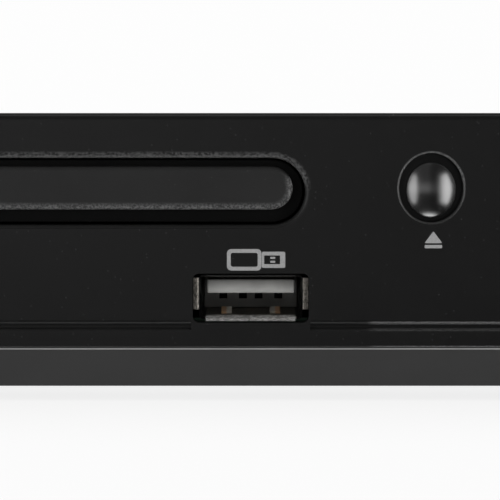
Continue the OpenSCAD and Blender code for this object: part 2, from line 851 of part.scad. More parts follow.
module power_button() {
    key(power_x);
}

module key_boards() {
    color("darkgreen") from_face() difference() {
        block(key_board_x, [key_board_y, key_board_y + board_t], [key_board_low, key_board_high]);
        for (p = key_board_bosses) translate([p[0], 0, p[1]]) through(1, far) circle(screw_r + bore_gap);
    }
}

module tact_switches() {
    color("black") from_face() for (x = [eject_x, play_x, stop_x, power_x]) translate([x, 0, key_z - key_drop]) {
        through(key_board_y - switch_h, key_board_y) round_rect(6, 6, 0.5);
        through(key_board_y - switch_h - plunger_len, key_board_y - switch_h + eps) circle(1.7);
    }
}

// ------------------------------------------------------------- data socket

module port_board() {
    color("darkgreen") from_face() difference() {
        block([port_x - port_board_w / 2, port_x + port_board_w / 2], [panel_wall + 0.6, port_board_end],
            [port_board_z, port_board_z + board_t]);
        for (p = port_posts) post(p[0], p[1], [0, far], screw_r + bore_gap);
    }
}

// A lip that rolls outwards from the wall at x, over an arc of radius r, seen along Z.
module port_lip(x, r, len) {
    turn = 70;
    back = 0.1 + r * sin(turn);
    linear_extrude(len, center = true) intersection() {
        translate([x + r, back]) difference() {
            circle(r);
            circle(r - port_sheet_t);
        }
        polygon([[x - 1, back + eps], [x + r, back + eps], [x + r, back],
            [x + r - 3 * cos(turn), back - 3 * sin(turn)], [x - 1, -3]]);
    }
}

module data_port_shell() {
    w = port_inner_w;
    h = port_inner_h;
    t = port_sheet_t;
    color("silver") from_face() translate([port_x, 0, port_inner_z + h / 2]) {
        difference() {
            through(port_front, port_len) difference() {
                round_rect(w + 2 * t, h + 2 * t, 0.5);
                round_rect(w, h, 0.3);
            }
            block([-w, w], [0, 0.1 + side_roll_r * sin(70)], [0.5 - side_lip_w / 2, 0.5 + side_lip_w / 2]);
        }
        both_sides() translate([0, 0, 0.5]) port_lip(w / 2, side_roll_r, side_lip_w);
        for (side = [90, -90]) rotate([0, side, 0]) port_lip(h / 2, side > 0 ? 0.75 : 0.6, 11.3);
    }
}

module data_port_tongue() {
    color("whitesmoke") from_face() {
        block([port_x - port_tongue_w / 2, port_x + port_tongue_w / 2], [2, port_len - 1],
            [port_tongue_z, port_tongue_z + port_tongue_t]);
        block([port_x - port_inner_w / 2 + 0.1, port_x + port_inner_w / 2 - 0.1], [port_len - 1.8, port_len - 0.2],
            [port_inner_z + 0.1, port_inner_z + port_inner_h - 0.1]);
    }
}

module data_port_contacts() {
    color("gold") from_face() for (i = [-1.75, -0.5, 0.5, 1.75]) translate([port_x + i * contact_pitch, 0, 0]) {
        block([-0.5, 0.5], [2.2, port_len - 2], [port_tongue_z - 0.25, port_tongue_z]);
        across([-0.5, 0.5]) polygon([[2.2, port_tongue_z - 0.2], [2.6, port_tongue_z - 0.75],
            [3.6, port_tongue_z - 0.75], [4.6, port_tongue_z - 0.2]]);
    }
}

module data_port_springs() {
    color([0.6, 0.45, 0.3]) from_face() both_sides_of_port() across([2.45, 3.75])
        polygon([[2.2, port_inner_z + 0.5], [3.4, port_inner_z + 1.1], [9, port_inner_z],
            [8, port_inner_z], [3.4, port_inner_z + 0.9], [2.3, port_inner_z + 0.3]]);
}

module both_sides_of_port() {
    translate([port_x, 0, 0]) both_sides() children();
}

// --------------------------------------------------------------- disc tray

module disc_tray() {
    half = tray_w / 2;
    start = plate_back;
    color([0.13, 0.13, 0.14]) from_loader() {
        difference() {
            union() {
                difference() {
                    block([-half, half], [start, tray_end], [tray_under_z, tray_rim_z]);
                    difference() {
                        block([-half + tray_wall, half - tray_wall], [start + tray_wall, tray_end - tray_wall],
                            [tray_under_z - 1, tray_rim_z - tray_wall]);
                        post(0, spindle_y, [0, far], well_r + well_wall);
                        block([-slot_r - tray_wall, slot_r + tray_wall], [spindle_y, tray_end], [0, far]);
                        for (turn = [45, 135, 225, 315]) translate([0, spindle_y, 0]) rotate(turn)
                            post(well_r, 0, [0, far], scoop_r + well_wall);
                    }
                }
                // Runners along both edges
                both_sides() block([half - runner_w, half], [start + 3, tray_end],
                    [tray_base_z, tray_under_z + eps]);
                // Rack for the drive gear
                translate([rack_gear_x - loader_x - rack_gear_r, rack_gear_y - 2 * PI * rack_module, tray_base_z])
                    rack(rack_count, rack_module, rack_back, runner_h + eps);
            }
            // Wells for large and small discs, and scoops for the fingers
            post(0, spindle_y, [tray_floor_z, far], well_r);
            post(0, spindle_y, [tray_floor_z - small_well_depth, far], small_well_r);
            for (turn = [45, 135, 225, 315]) translate([0, spindle_y, 0]) rotate(turn)
                post(well_r, 0, [tray_floor_z, far], scoop_r);
            // Slot for the disc drive, open at the rear
            post(0, slot_centre_y, [0, far], slot_r);
            block([-slot_r, slot_r], [slot_centre_y, far], [0, far]);
        }
    }
}

// The bar in section: out to its end radius, with a round front edge.
module bar_section(r, h) {
    square([r - bar_edge_r, h]);
    square([r, h - bar_edge_r]);
    translate([r - bar_edge_r, h - bar_edge_r]) circle(bar_edge_r);
}

module tray_front() {
    color([0.16, 0.16, 0.17]) from_loader() {
        translate([0, 0, opening_z]) through(plate_set_back, plate_back)
            stadium(opening_w - 2 * plate_gap, opening_h - 2 * plate_gap);
        translate([0, plate_set_back + eps, opening_z + bar_rise])
            round_stadium(opening_w - 2 * bar_end_gap, bar_h / 2)
                bar_section(bar_h / 2, plate_set_back + eps - bar_set_back);
    }
}

// ------------------------------------------------------------ loader frame

module loader_frame() {
    side_in = frame_half - frame_wall;
    deck_half_right = port_x - loader_x - port_board_w / 2 - 1.5;
    color("gray") from_loader() difference() {
        union() {
            both_sides() {
                block([side_in, frame_half], [frame_start, frame_end], [frame_low, frame_top]);
                // Ledge under the tray's runner and foot of the wall
                block([side_in - frame_gap - runner_w, side_in + eps], [frame_start, frame_end - cross_t],
                    [ledge_top - ledge_t, ledge_top]);
                block([side_in - 5, side_in + eps], [deck_end, frame_end], [frame_low, frame_low + 1.5]);
                // Tabs over the rim of the tray
                for (y = [frame_start + 3, deck_end, 120]) block([side_in - frame_gap - 3, side_in + eps],
                    [y, y + tab_len], [tray_rim_z + slide_gap, frame_top]);
                for (y = ear_y) block([frame_half - eps, frame_half + ear_reach], [y - 5, y + 5], [ear_z, ear_z + 2]);
                // Ears of the traverse's pivot
                block([base_half + ear_gap, base_half + ear_gap + ear_t], [pivot_y - 5, pivot_y + 5],
                    [frame_low, pivot_z + 4]);
            }
            block([-side_in - eps, deck_half_right], [frame_start + 2, deck_end + cross_t], [deck_z - deck_t, deck_z]);
            block([deck_half_right - eps, side_in + eps], [port_board_end + 4, deck_end + cross_t],
                [deck_z - deck_t, deck_z]);
            block([-side_in - eps, side_in + eps], [deck_end, deck_end + cross_t], [frame_low, deck_z]);
            // Channel that guides the cam slider
            block([-cam_pin_x - 30, cam_pin_x + 16], [deck_end + eps, cam_y + cam_t + 1.6],
                [frame_low, cam_low - slide_gap]);
            block([-cam_pin_x - 30, cam_pin_x + 16], [cam_y + cam_t + slide_gap, cam_y + cam_t + 1.6],
                [frame_low, cam_low + 0.4]);
            // Rear deck and rear wall
            block([-side_in - eps, side_in + eps], [rear_deck_start, frame_end], [frame_low, frame_low + rear_deck_t]);
            block([-side_in - eps, side_in + eps], [frame_end - cross_t, frame_end], [frame_low, ledge_top]);
            // Posts of the two gears
            for (x = [rack_gear_x, pulley_x]) {
                post(x - loader_x, rack_gear_y, [deck_z - eps, wheel_top], pin_r);
            }
            post(rack_gear_x - loader_x, rack_gear_y, [deck_z - eps, wheel_top - wheel_t - belt_seat_gap], post_boss_r);
            post(pulley_x - loader_x, rack_gear_y, [deck_z - eps, pulley_top - pulley_t - belt_seat_gap], post_boss_r);
        }
        // Room for the data socket's board
        block([deck_half_right, far], [0, port_board_end + 4], [0, ledge_top - ledge_t - 1]);
        both_sides() for (y = ear_y) post(frame_half + ear_reach / 2, y, [0, far], screw_r + bore_gap);
        translate([0, pivot_y, pivot_z]) rotate([0, 90, 0])
            cylinder(h = 2 * (base_half + ear_gap + ear_t + 1), r = pin_r + bore_gap, center = true);
        post(loading_motor_x - loader_x, rack_gear_y, [0, far], belt_small_r);
    }
}

module loader_dampers() {
    color("black") from_face() for (p = loader_ears) difference() {
        post(p[0], p[1], [ear_z - damper_h, ear_z], damper_r);
        post(p[0], p[1], [0, far], screw_r + bore_gap);
    }
}

module clamp_bridge() {
    color("gray") from_loader() difference() {
        union() {
            block([-frame_half, frame_half], bridge_y, [frame_top, frame_top + bridge_t]);
            for (y = [bridge_y[0], bridge_y[1] - 1.2])
                block([-frame_half + 6, frame_half - 6], [y, y + 1.2], [frame_top + bridge_t - eps, frame_top + 2.8]);
            post(0, spindle_y, [frame_top, frame_top + 2.2], bridge_hole_r + 1.5);
        }
        post(0, spindle_y, [0, far], bridge_hole_r);
        post(0, spindle_y, [frame_top + bridge_t, far], bridge_hole_r + 0.5);
    }
}

// The puck that holds the disc down, in section from its axis outwards.
module clamper() {
    low = disc_seat_z + disc_t + 0.2;
    flange_z = frame_top + 2.5;
    color("whitesmoke") from_loader() translate([0, spindle_y, 0]) difference() {
        rotate_extrude() {
            translate([0, low]) square([bridge_hole_r - 0.6, 1.1]);
            translate([0, low]) square([bridge_hole_r - 2, flange_z - low + eps]);
            translate([0, flange_z]) square([bridge_hole_r + 1.4, 1.1]);
        }
        translate([0, 0, low - 1]) cylinder(h = hub_h - disc_t + 1.2, r = hub_r + 0.6);
        translate([0, 0, flange_z + 0.6]) cylinder(h = 1, r = bridge_hole_r - 2.5);
    }
}

module tray_switch() {
    x = -frame_half + frame_wall + 9;
    color("black") from_loader() {
        block([x, x + 7], [frame_start + 3, frame_start + 7], [deck_z, deck_z + 3.6]);
        block([x + 2, x + 3], [frame_start + 3.8, frame_start + 5.8], [deck_z + 3.6 - eps, deck_z + 5]);
    }
}

// ------------------------------------------------------------ loading train

module loading_motor() {
    top = deck_z - deck_t;
    color("silver") from_face() translate([loading_motor_x, rack_gear_y, 0]) difference() {
        union() {
            post(0, 0, [top - loading_motor_h, top], loading_motor_r);
            post(0, 0, [top - eps, top + 0.8], belt_small_r - 0.4);
            post(0, 0, [top - loading_motor_h - 0.8, top - loading_motor_h + eps], belt_small_r);
        }
        post(0, 0, [top - 4, far], motor_shaft_r + bore_gap);
    }
}

module motor_pulley() {
    lip = small_groove_r + pulley_lip;
    color("gold") from_face() translate([loading_motor_x, rack_gear_y, 0]) {
        post(0, 0, [deck_z - deck_t - 3.8, pulley_top + 0.8], motor_shaft_r);
        post(0, 0, [pulley_top - pulley_t, pulley_top], small_groove_r);
        post(0, 0, [pulley_top - pulley_t, belt_z - 0.1], lip);
        post(0, 0, [belt_z + belt_w + 0.1, pulley_top], lip);
    }
}

// A closed belt round two pulleys: two arcs joined by two straight runs.
module drive_belt() {
    lean = acos((belt_big_r - belt_small_r) / belt_len);
    run = belt_len * sin(lean);
    skin = 0.01;
    color([0.08, 0.08, 0.08]) from_face() translate([pulley_x, rack_gear_y, belt_z]) {
        rotate_extrude(angle = 360 - 2 * lean, start = lean)
            translate([belt_big_r - belt_t / 2, 0]) square([belt_t, belt_w]);
        translate([belt_len, 0, 0]) rotate_extrude(angle = 2 * lean, start = -lean)
            translate([belt_small_r - belt_t / 2, 0]) square([belt_t, belt_w]);
        for (side = [0, 1]) mirror([0, side, 0]) rotate(lean)
            translate([belt_big_r - belt_t / 2 + skin, -run - 0.1, 0]) cube([belt_t - 2 * skin, run + 0.2, belt_w]);
    }
}

module pulley_gear() {
    lip = groove_r + pulley_lip;
    color("whitesmoke") from_face() translate([pulley_x, rack_gear_y, 0]) difference() {
        union() {
            post(0, 0, [pulley_top - pulley_t, pulley_top], groove_r);
            post(0, 0, [pulley_top - pulley_t, belt_z - 0.1], lip);
            post(0, 0, [belt_z + belt_w + 0.1, pulley_top], lip);
            spur(pinion_teeth, train_module, pulley_top - eps, wheel_top - pulley_top + eps, 180 / pinion_teeth);
        }
        post(0, 0, [0, far], pin_r + bore_gap);
    }
}

module drive_gear() {
    color("whitesmoke") from_face() translate([rack_gear_x, rack_gear_y, 0]) difference() {
        union() {
            spur(wheel_teeth, train_module, wheel_top - wheel_t, wheel_t);
            spur(rack_teeth, rack_module, wheel_top - eps, rack_pinion_t + eps);
        }
        post(0, 0, [0, wheel_top + 0.3], pin_r + bore_gap);
    }
}

// The slider whose sloping slots raise and lower the front of the traverse.
module cam_slider() {
    left = -cam_pin_x - cam_travel - 7;
    right = cam_pin_x + 7;
    arm = rack_gear_x - loader_x - 14;
    color("ivory") from_loader() {
        difference() {
            block([left, right], [cam_y, cam_y + cam_t], [cam_low, cam_high]);
            for (x = [-cam_pin_x, cam_pin_x]) for (k = [0, 1]) translate([x - k * cam_travel, 0, pivot_z - k * cam_drop])
                rotate([90, 0, 0]) cylinder(h = far, r = cam_slot_r, center = true);
            for (x = [-cam_pin_x, cam_pin_x]) translate([x, cam_y + cam_t / 2, pivot_z])
                rotate([0, -atan2(cam_drop, cam_travel), 0])
                    translate([-norm([cam_travel, cam_drop]) / 2, 0, 0])
                        cube([norm([cam_travel, cam_drop]), 9, 2 * cam_slot_r], center = true);
        }
        // Arm with the short rack that the drive gear's wheel takes up
        block([arm, left + eps], [cam_y, cam_y + cam_t], [deck_z + 0.6, cam_high]);
        translate([arm, cam_y + eps, wheel_top - wheel_t]) mirror([0, 1, 0]) linear_extrude(wheel_t) {
            square([14, 1.6]);
            for (i = [0 : 6]) translate([1 + i * PI * train_module, 1.6 - eps])
                polygon([[-0.65, 0], [0.65, 0], [0.2, 1.1], [-0.2, 1.1]]);
        }
        block([arm, arm + 14], [cam_y, cam_y + cam_t], [cam_high - eps, wheel_top]);
    }
}

// -------------------------------------------------------------- disc drive

module traverse_base() {
    color("dimgray") from_loader() difference() {
        union() {
            block([-base_half, base_half], [base_start, base_end], [plate_z, plate_top]);
            // Wing under the feed motor
            block([base_half - eps, feed_motor_x + feed_motor_r + 1],
                [feed_gear_y - 10, feed_gear_y + 10], [plate_z, plate_top]);
            // Ribs round the plate
            difference() {
                block([-base_half, base_half], [base_start, base_end], [plate_top - eps, plate_top + rib_h]);
                block([-base_half + rib_t, base_half - rib_t], [base_start + rib_t, base_end - rib_t], [0, far]);
            }
            // Seats of the two guide rods
            both_sides() for (y = [rod_start - 1, window_end - eps])
                block([rod_x - 3, rod_x + 3], [y, y + window_start - rod_start + 1 + eps],
                    [plate_z - 1, plate_top + rib_h]);
            both_sides() translate([base_half - eps, pivot_y, pivot_z]) rotate([0, 90, 0])
                cylinder(h = ear_gap + ear_t + 0.6, r = pin_r);
            for (x = [-cam_pin_x, cam_pin_x]) translate([x, cam_y + 0.2, pivot_z]) rotate([-90, 0, 0])
                cylinder(h = base_start - cam_y - 0.1, r = pin_r);
            post(feed_gear_x, feed_gear_y, [feed_wheel_z, plate_z + eps], 1);
        }
        block([-window_half, window_half], [window_start, window_end], [0, far]);
        both_sides() translate([rod_x, 0, pivot_z]) through(rod_start, rod_end) circle(pin_r + 0.01);
        post(0, spindle_y, [0, far], spindle_shaft_r + 0.6);
        post(feed_motor_x, feed_gear_y, [0, far], motor_shaft_r + 1);
        post(feed_motor_x, feed_gear_y, [plate_top, far], feed_motor_r + 0.2);
    }
}

module spindle_motor() {
    color("silver") from_loader() translate([0, spindle_y, plate_top]) difference() {
        rotate_extrude() {
            square([spindle_motor_r, 2]);
            translate([0, 2.4]) square([spindle_motor_r, spindle_motor_h - 2.4]);
            square([spindle_motor_r - 1, spindle_motor_h - 1]);
        }
        cylinder(h = far, r = spindle_shaft_r + bore_gap, center = true);
    }
}

module turntable() {
    seat = disc_seat_z - pad_t;
    color([0.12, 0.12, 0.12]) from_loader() translate([0, spindle_y, 0]) {
        difference() {
            rotate_extrude() {
                translate([0, turntable_z]) square([turntable_r, seat - turntable_z]);
                translate([0, seat - eps]) polygon([[0, 0], [hub_r, 0], [hub_r, 1.4], [hub_r - 1.6, hub_h + pad_t],
                    [0, hub_h + pad_t]]);
            }
            for (i = [0 : 2]) rotate(i * 120) post(hub_r - 0.4, 0, [seat, far], 1.1);
        }
        post(0, 0, [plate_z + 0.4, turntable_z + eps], spindle_shaft_r);
    }
}

module disc_pad() {
    color("black") from_loader() translate([0, spindle_y, 0]) difference() {
        post(0, 0, [disc_seat_z - pad_t, disc_seat_z], turntable_r - 0.3);
        post(0, 0, [0, far], turntable_r - 4);
    }
}

module guide_rods() {
    color("silver") from_loader() both_sides() translate([rod_x, 0, pivot_z])
        through(rod_start, rod_end) circle(pin_r);
}

module pickup_body() {
    end = pickup_start + pickup_len;
    color([0.3, 0.3, 0.32]) from_loader() {
        difference() {
            union() {
                block([-pickup_half, pickup_half], [pickup_start, end], [pickup_low, pickup_top - 2]);
                block([-rod_x + 5, rod_x - 5], [pickup_start, end], [pickup_top - 2 - eps, pickup_top]);
                // Yokes on both sides of the lens
                for (x = [-9, 7]) block([x, x + 2], [lens_y - 5, lens_y + 5], [pickup_top - eps, lens_top - 0.7]);
            }
            // A round bearing on one rod, a fork on the other
            translate([-rod_x, 0, pivot_z]) through(0, far) circle(pin_r + bore_gap);
            block([rod_x - pin_r - 0.3, far], [0, far], [pivot_z - pin_r - bore_gap, pivot_z + pin_r + bore_gap]);
            // Hollow underneath
            block([-rod_x + 5, rod_x - 5], [pickup_start + 2, end - 2], [0, pivot_z + 1]);
            // Pocket of the lens holder
            block([-6, 6], [lens_y - 5, lens_y + 5], [pickup_top - 1.2, far]);
        }
        // Long rack at the side, and the arm that carries it
        translate([feed_rack_x, feed_rack_start, pickup_low])
            rack(feed_rack_count, feed_module, feed_rack_x - pickup_half + eps, feed_pinion_t);
    }
}

module objective_lens() {
    ball = 5;
    rise = 1;
    color([0.5, 0.6, 0.7]) from_loader() translate([0, lens_y, 0]) {
        block([-5.4, 5.4], [-4.4, 4.4], [pickup_top - 0.6, lens_top - rise]);
        translate([0, 0, lens_top - rise - eps]) rotate_extrude() intersection() {
            translate([0, rise + eps - ball]) circle(ball, $fn = 96);
            square([3, 3]);
        }
    }
}

module feed_motor() {
    color("silver") from_loader() translate([feed_motor_x, feed_gear_y, plate_top]) difference() {
        cylinder(h = feed_motor_h, r = feed_motor_r);
        translate([0, 0, -eps]) cylinder(h = 3, r = motor_shaft_r + bore_gap);
    }
}

module feed_pinion() {
    color("gold") from_loader() translate([feed_motor_x, feed_gear_y, 0]) {
        spur(feed_motor_teeth, feed_module, feed_wheel_z - 0.1, feed_wheel_t + 0.4, 180 / feed_motor_teeth);
        post(0, 0, [feed_wheel_z + feed_wheel_t, plate_top + 2.8], motor_shaft_r);
    }
}

module feed_gear() {
    color("ivory") from_loader() translate([feed_gear_x, feed_gear_y, 0]) difference() {
        union() {
            spur(feed_teeth, feed_module, feed_wheel_z, feed_wheel_t);
            spur(feed_pinion_teeth, feed_module, feed_wheel_z + feed_wheel_t - eps, feed_pinion_t + eps);
        }
        post(0, 0, [0, far], 1 + bore_gap);
    }
}

// ------------------------------------------------------ boards and sockets

module main_board() {
    color("darkgreen") from_face() difference() {
        block(main_x, main_y, [board_z, board_top]);
        for (p = main_posts) post(p[0], p[1], [0, far], screw_r + bore_gap);
    }
}

module power_board() {
    color("saddlebrown") from_face() difference() {
        block(power_x_range, power_y, [board_z, board_top]);
        for (p = power_posts) post(p[0], p[1], [0, far], screw_r + bore_gap);
    }
}

// A flat chip with a row of leads on two sides.
module chip(x, y, w, d, leads) {
    translate([x, y, board_top]) {
        block([-w / 2, w / 2], [-d / 2, d / 2], [0.1, 1.6]);
        for (i = [0 : leads - 1]) block([-w / 2 - 1, w / 2 + 1],
            [-d / 2 + (i + 0.3) * d / leads, -d / 2 + (i + 0.7) * d / leads], [0, 0.3]);
    }
}

module chips() {
    color([0.1, 0.1, 0.1]) from_face() {
        translate([main_mid_x, main_y[0], 0]) {
            chip(-8, 52, 22, 22, 12);
            chip(15, 42, 10, 18, 9);
            chip(12, 72, 8, 12, 6);
            chip(-12, 24, 9, 14, 7);
        }
        // Remote receiver behind its window
        translate([receiver_x, 0, key_z]) {
            through(key_board_y - 2.4, key_board_y) round_rect(5.4, 6, 0.5);
            translate([0, key_board_y - 2.4, 0]) sphere(1.6);
        }
    }
}

// A capacitor in its sleeve, with the crimped neck at its foot.
module can(x, y, r, h) {
    neck = h / 9;
    translate([x, y, 0]) rotate_extrude() {
        square([r - 0.4, h]);
        square([r, neck]);
        translate([0, neck + 0.6]) square([r, h - neck - 0.6]);
    }
}

module capacitors() {
    color([0.15, 0.15, 0.4]) from_face() translate([0, 0, board_top]) {
        translate([main_mid_x, main_y[0], 0]) for (p = [[-20, 70], [-20, 80], [20, 16], [10, 12], [22, 88]])
            can(p[0], p[1], 3, 9);
        translate([power_mid_x, power_y[0], 0]) {
            can(6, 54, 7, 21);
            can(-6, 10, 4, 14);
            can(3, 10, 4, 14);
        }
    }
}

module transformer() {
    color([0.75, 0.7, 0.3]) from_face() translate([power_mid_x, power_y[0] + 32, board_top]) {
        block([-9.5, 9.5], [-3, 3], [0, 16]);
        block([-8, 8], [-8, 8], [2.5, 13.5]);
    }
}

module ribbon_cables() {
    t = 0.6;
    low = floor_z + 0.1;
    front_y = key_board_y + board_t;
    left = loader_x - frame_half + 20;
    lead_x = [main_x[0] + 8.5, main_x[0] + 20.5];
    lead_y = deck_end + 5;
    lead_end = main_y[0] + 6;
    color("lightgray") from_face() {
        // From the key board down to the floor and back to the main board
        across([main_x[0] + 22, main_x[0] + 36]) {
            translate([front_y, low]) square([t, key_board_low + 4 - low]);
            translate([front_y, low]) square([main_y[0] + 6 - front_y, t]);
            translate([main_y[0] + 6 - t, low]) square([t, board_z - low]);
        }
        // From the loader's motor across the floor to the main board
        block([left, lead_x[1]], [lead_y, lead_y + 12], [low, low + t]);
        block(lead_x, [lead_y, lead_end], [low, low + t]);
        block(lead_x, [lead_end - t, lead_end], [low, board_z]);
    }
}

// A signal jack: its moulded body, the collar in the panel and the insulator.
module jack(i) {
    from_face() translate([first_jack_x + i * jack_pitch, 0, jack_z]) difference() {
        union() {
            block([-5, 5], [jack_start, rear_in], [-jack_level, 6.2]);
            through(rear_in - eps, jack_collar_out) circle(barrel_r + 0.75);
            through(jack_collar_out - eps, barrel_end - 0.5) circle(barrel_r - 0.9);
        }
        through(jack_collar_out - 4, far) circle(1.6);
    }
}

module video_jack() {
    color("gold") jack(0);
}

module left_audio_jack() {
    color("white") jack(1);
}

module right_audio_jack() {
    color("red") jack(2);
}

module jack_barrels() {
    color("silver") from_face() for (i = [0 : 2]) translate([first_jack_x + i * jack_pitch, 0, jack_z])
        through(jack_collar_out, barrel_end) difference() {
            circle(barrel_r);
            circle(barrel_r - 0.8);
        }
}

// The outline of the digital video socket: a bar with its lower corners cut off.
module video_outline(w, h, cut) {
    polygon([[-w / 2, h / 2], [-w / 2, -h / 2 + cut], [-w / 2 + cut, -h / 2], [w / 2 - cut, -h / 2],
        [w / 2, -h / 2 + cut], [w / 2, h / 2]]);
}

module digital_video_socket() {
    color("silver") from_face() translate([video_x, 0, board_top + video_h / 2])
        through(jack_start, case_d + 0.6) difference() {
            video_outline(video_w, video_h, 1.6);
            video_outline(video_w - 0.8, video_h - 0.8, 1.4);
        }
}

module digital_video_tongue() {
    color("black") from_face() translate([video_x, 0, board_top + video_h / 2]) {
        block([-5.2, 5.2], [jack_start + 1, case_d - 1.2], [0, 1.2]);
        through(jack_start + 0.2, jack_start + 2) video_outline(video_w - 1, video_h - 1, 1.4);
    }
}

module inlet_hollow() {
    for (x = [-1, 1]) translate([x * 3.7, 0]) circle(3.9);
    square([7.4, 6], center = true);
}

module mains_inlet() {
    color([0.1, 0.1, 0.1]) from_face() translate([inlet_x, 0, inlet_z]) difference() {
        union() {
            through(jack_start, case_d + eps) round_rect(20.4, 13, 1);
            block([-9, 9], [jack_start, rear_in - 1], [board_top - inlet_z, 0]);
            through(case_d, case_d + 1.4) round_rect(23, 15, 1.5);
            through(case_d, case_d + 2.6) round_rect(18, 10.4, 4.4);
        }
        through(jack_start + 2, far) inlet_hollow();
    }
}

module inlet_pins() {
    color("gold") from_face() translate([inlet_x, 0, inlet_z]) for (x = [-4.3, 4.3]) translate([x, 0, 0])
        through(jack_start + 2, case_d + 0.6) circle(1.2);
}

// ---------------------------------------------------------------- assembly

bottom_chassis();
board_posts();
top_cover();
rear_panel();
feet();
cover_screws();
inner_screws();
front_panel();
accent_strip();
lower_trim();
ir_window();
standby_light_pipe();
eject_button();
play_button();
stop_button();
power_button();
key_boards();
tact_switches();
port_board();
data_port_shell();
data_port_tongue();
data_port_contacts();
data_port_springs();
disc_tray();
tray_front();
loader_frame();
loader_dampers();
clamp_bridge();
clamper();
tray_switch();
loading_motor();
motor_pulley();
drive_belt();
pulley_gear();
drive_gear();
cam_slider();
traverse_base();
spindle_motor();
turntable();
disc_pad();
guide_rods();
pickup_body();
objective_lens();
feed_motor();
feed_pinion();
feed_gear();
main_board();
power_board();
chips();
capacitors();
transformer();
ribbon_cables();
video_jack();
left_audio_jack();
right_audio_jack();
jack_barrels();
digital_video_socket();
digital_video_tongue();
mains_inlet();
inlet_pins();
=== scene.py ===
# %% [markdown]
# # A compact disc player with a loading tray
# The player is a flat steel box behind a long moulded fascia. The frame below brings in its solids at
# their real size, each one already in place, so every finish and every added piece is worked out from
# the boxes of those solids. Places are in metres, with MM for values that are best read in millimetres.
# The tools for finishes, outlines and small meshes take millimetres.

# %% Load the frame
import math
import random

import bmesh
import bpy
from mathutils import Matrix, Vector


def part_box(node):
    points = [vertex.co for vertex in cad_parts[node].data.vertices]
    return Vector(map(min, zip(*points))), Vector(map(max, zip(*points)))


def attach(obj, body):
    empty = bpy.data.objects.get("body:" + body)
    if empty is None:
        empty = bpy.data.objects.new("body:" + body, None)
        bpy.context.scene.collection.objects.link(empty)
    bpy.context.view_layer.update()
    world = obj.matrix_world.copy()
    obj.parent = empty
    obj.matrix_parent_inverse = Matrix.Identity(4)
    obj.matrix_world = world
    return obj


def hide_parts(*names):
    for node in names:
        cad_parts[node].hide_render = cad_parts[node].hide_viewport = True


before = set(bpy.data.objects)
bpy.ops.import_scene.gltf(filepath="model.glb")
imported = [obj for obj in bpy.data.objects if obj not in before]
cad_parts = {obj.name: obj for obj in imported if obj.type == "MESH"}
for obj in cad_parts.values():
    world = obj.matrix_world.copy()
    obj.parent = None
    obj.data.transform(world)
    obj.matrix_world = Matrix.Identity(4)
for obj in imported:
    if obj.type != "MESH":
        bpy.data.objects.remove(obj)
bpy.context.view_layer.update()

MM = 0.001

# %% [markdown]
# ## Where things are
# The flat face of the fascia, the socket and the keys are the places that most pieces refer to. They
# are measured on the solids instead of being typed, so the scene follows the model when it changes.

# %% Measure the fascia
def middle(node):
    """The centre of a solid's box."""
    low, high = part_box(node)
    return (low + high) / 2


face_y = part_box("front_panel")[0].y
top_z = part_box("front_panel")[1].z
socket = middle("data_port_shell")
print("fascia at y =", round(face_y / MM, 2), "mm, socket at x =", round(socket.x / MM, 2), "mm")

# %% [markdown]
# ## The camera
# The player is seen from close by, level with the top edge of the fascia and aimed a little downwards,
# so the picture holds 63 mm of its width. The distance sets how far the eye looks down into the socket.

# %% Camera
VIEW_DISTANCE = 250 * MM
VIEW_WIDTH = 62.9 * MM
AIM_DROP = 17.23 * MM
AIM_LEFT = 0.1 * MM
NEAREST = 10 * MM
SENSOR = 36


def placed(name, data):
    """A new object in the scene."""
    thing = bpy.data.objects.new(name, data)
    bpy.context.scene.collection.objects.link(thing)
    return thing


def look_at(thing, target):
    """Turns a camera or a lamp so that its -Z axis points at the target."""
    thing.rotation_euler = (target - thing.location).to_track_quat("-Z", "Y").to_euler()


camera = placed("camera", bpy.data.cameras.new("camera"))
camera.location = (socket.x - AIM_LEFT, face_y - VIEW_DISTANCE, top_z)
look_at(camera, Vector((camera.location.x, face_y, top_z - AIM_DROP)))
camera.data.sensor_width = SENSOR
camera.data.lens = SENSOR * VIEW_DISTANCE / VIEW_WIDTH
camera.data.clip_start = NEAREST
bpy.context.scene.camera = camera
print("lens:", round(camera.data.lens, 1), "mm")

# %% [markdown]
# ## The studio
# Three wide soft lamps give the plain even light that the colours are chosen for. They stay out of
# mirror rays, because black gloss plastic shows the room more than it shows itself, and the room that
# it shows is made in the next step.

# %% Lamps
LAMPS = {
    # name: (place, width and height, power in watts)
    "lamp_left": ((-0.75, -0.50, 0.45), (0.60, 0.60), 4.6),
    "lamp_right": ((0.75, -0.50, 0.45), (0.60, 0.60), 3.4),
    "lamp_above": ((0.10, 0.35, 1.10), (1.00, 0.80), 7.0),
}
LIT_PLACE = Vector((0.02, face_y, 0.03))

for name, (place, size, power) in LAMPS.items():
    lamp = placed(name, bpy.data.lights.new(name, "AREA"))
    lamp.data.shape = "RECTANGLE"
    lamp.data.size, lamp.data.size_y = size
    lamp.data.energy = power
    lamp.location = place
    look_at(lamp, LIT_PLACE)
    lamp.visible_camera = False
    lamp.visible_glossy = False
    print(name, power, "W")

# %% [markdown]
# ## The room
# The world gives each kind of ray its own share. The camera and glass see a pale room. Mirror rays see
# dim walls, a tall panel on each side, where only domes and round edges catch it, a soft ceiling and a
# pale table. All other rays get an even light.

# %% Tools for node trees
finishes = {}


def feed(entry, value):
    """Links an input to a socket, or sets it to a value."""
    if isinstance(value, bpy.types.NodeSocket):
        entry.id_data.links.new(value, entry)
    else:
        entry.default_value = value


def add(tree, kind, **inputs):
    """A new shader node, with its inputs fed by name, where _ stands for a space."""
    node = tree.nodes.new("ShaderNode" + kind)
    for label, value in inputs.items():
        feed(node.inputs[label.replace("_", " ")], value)
    return node


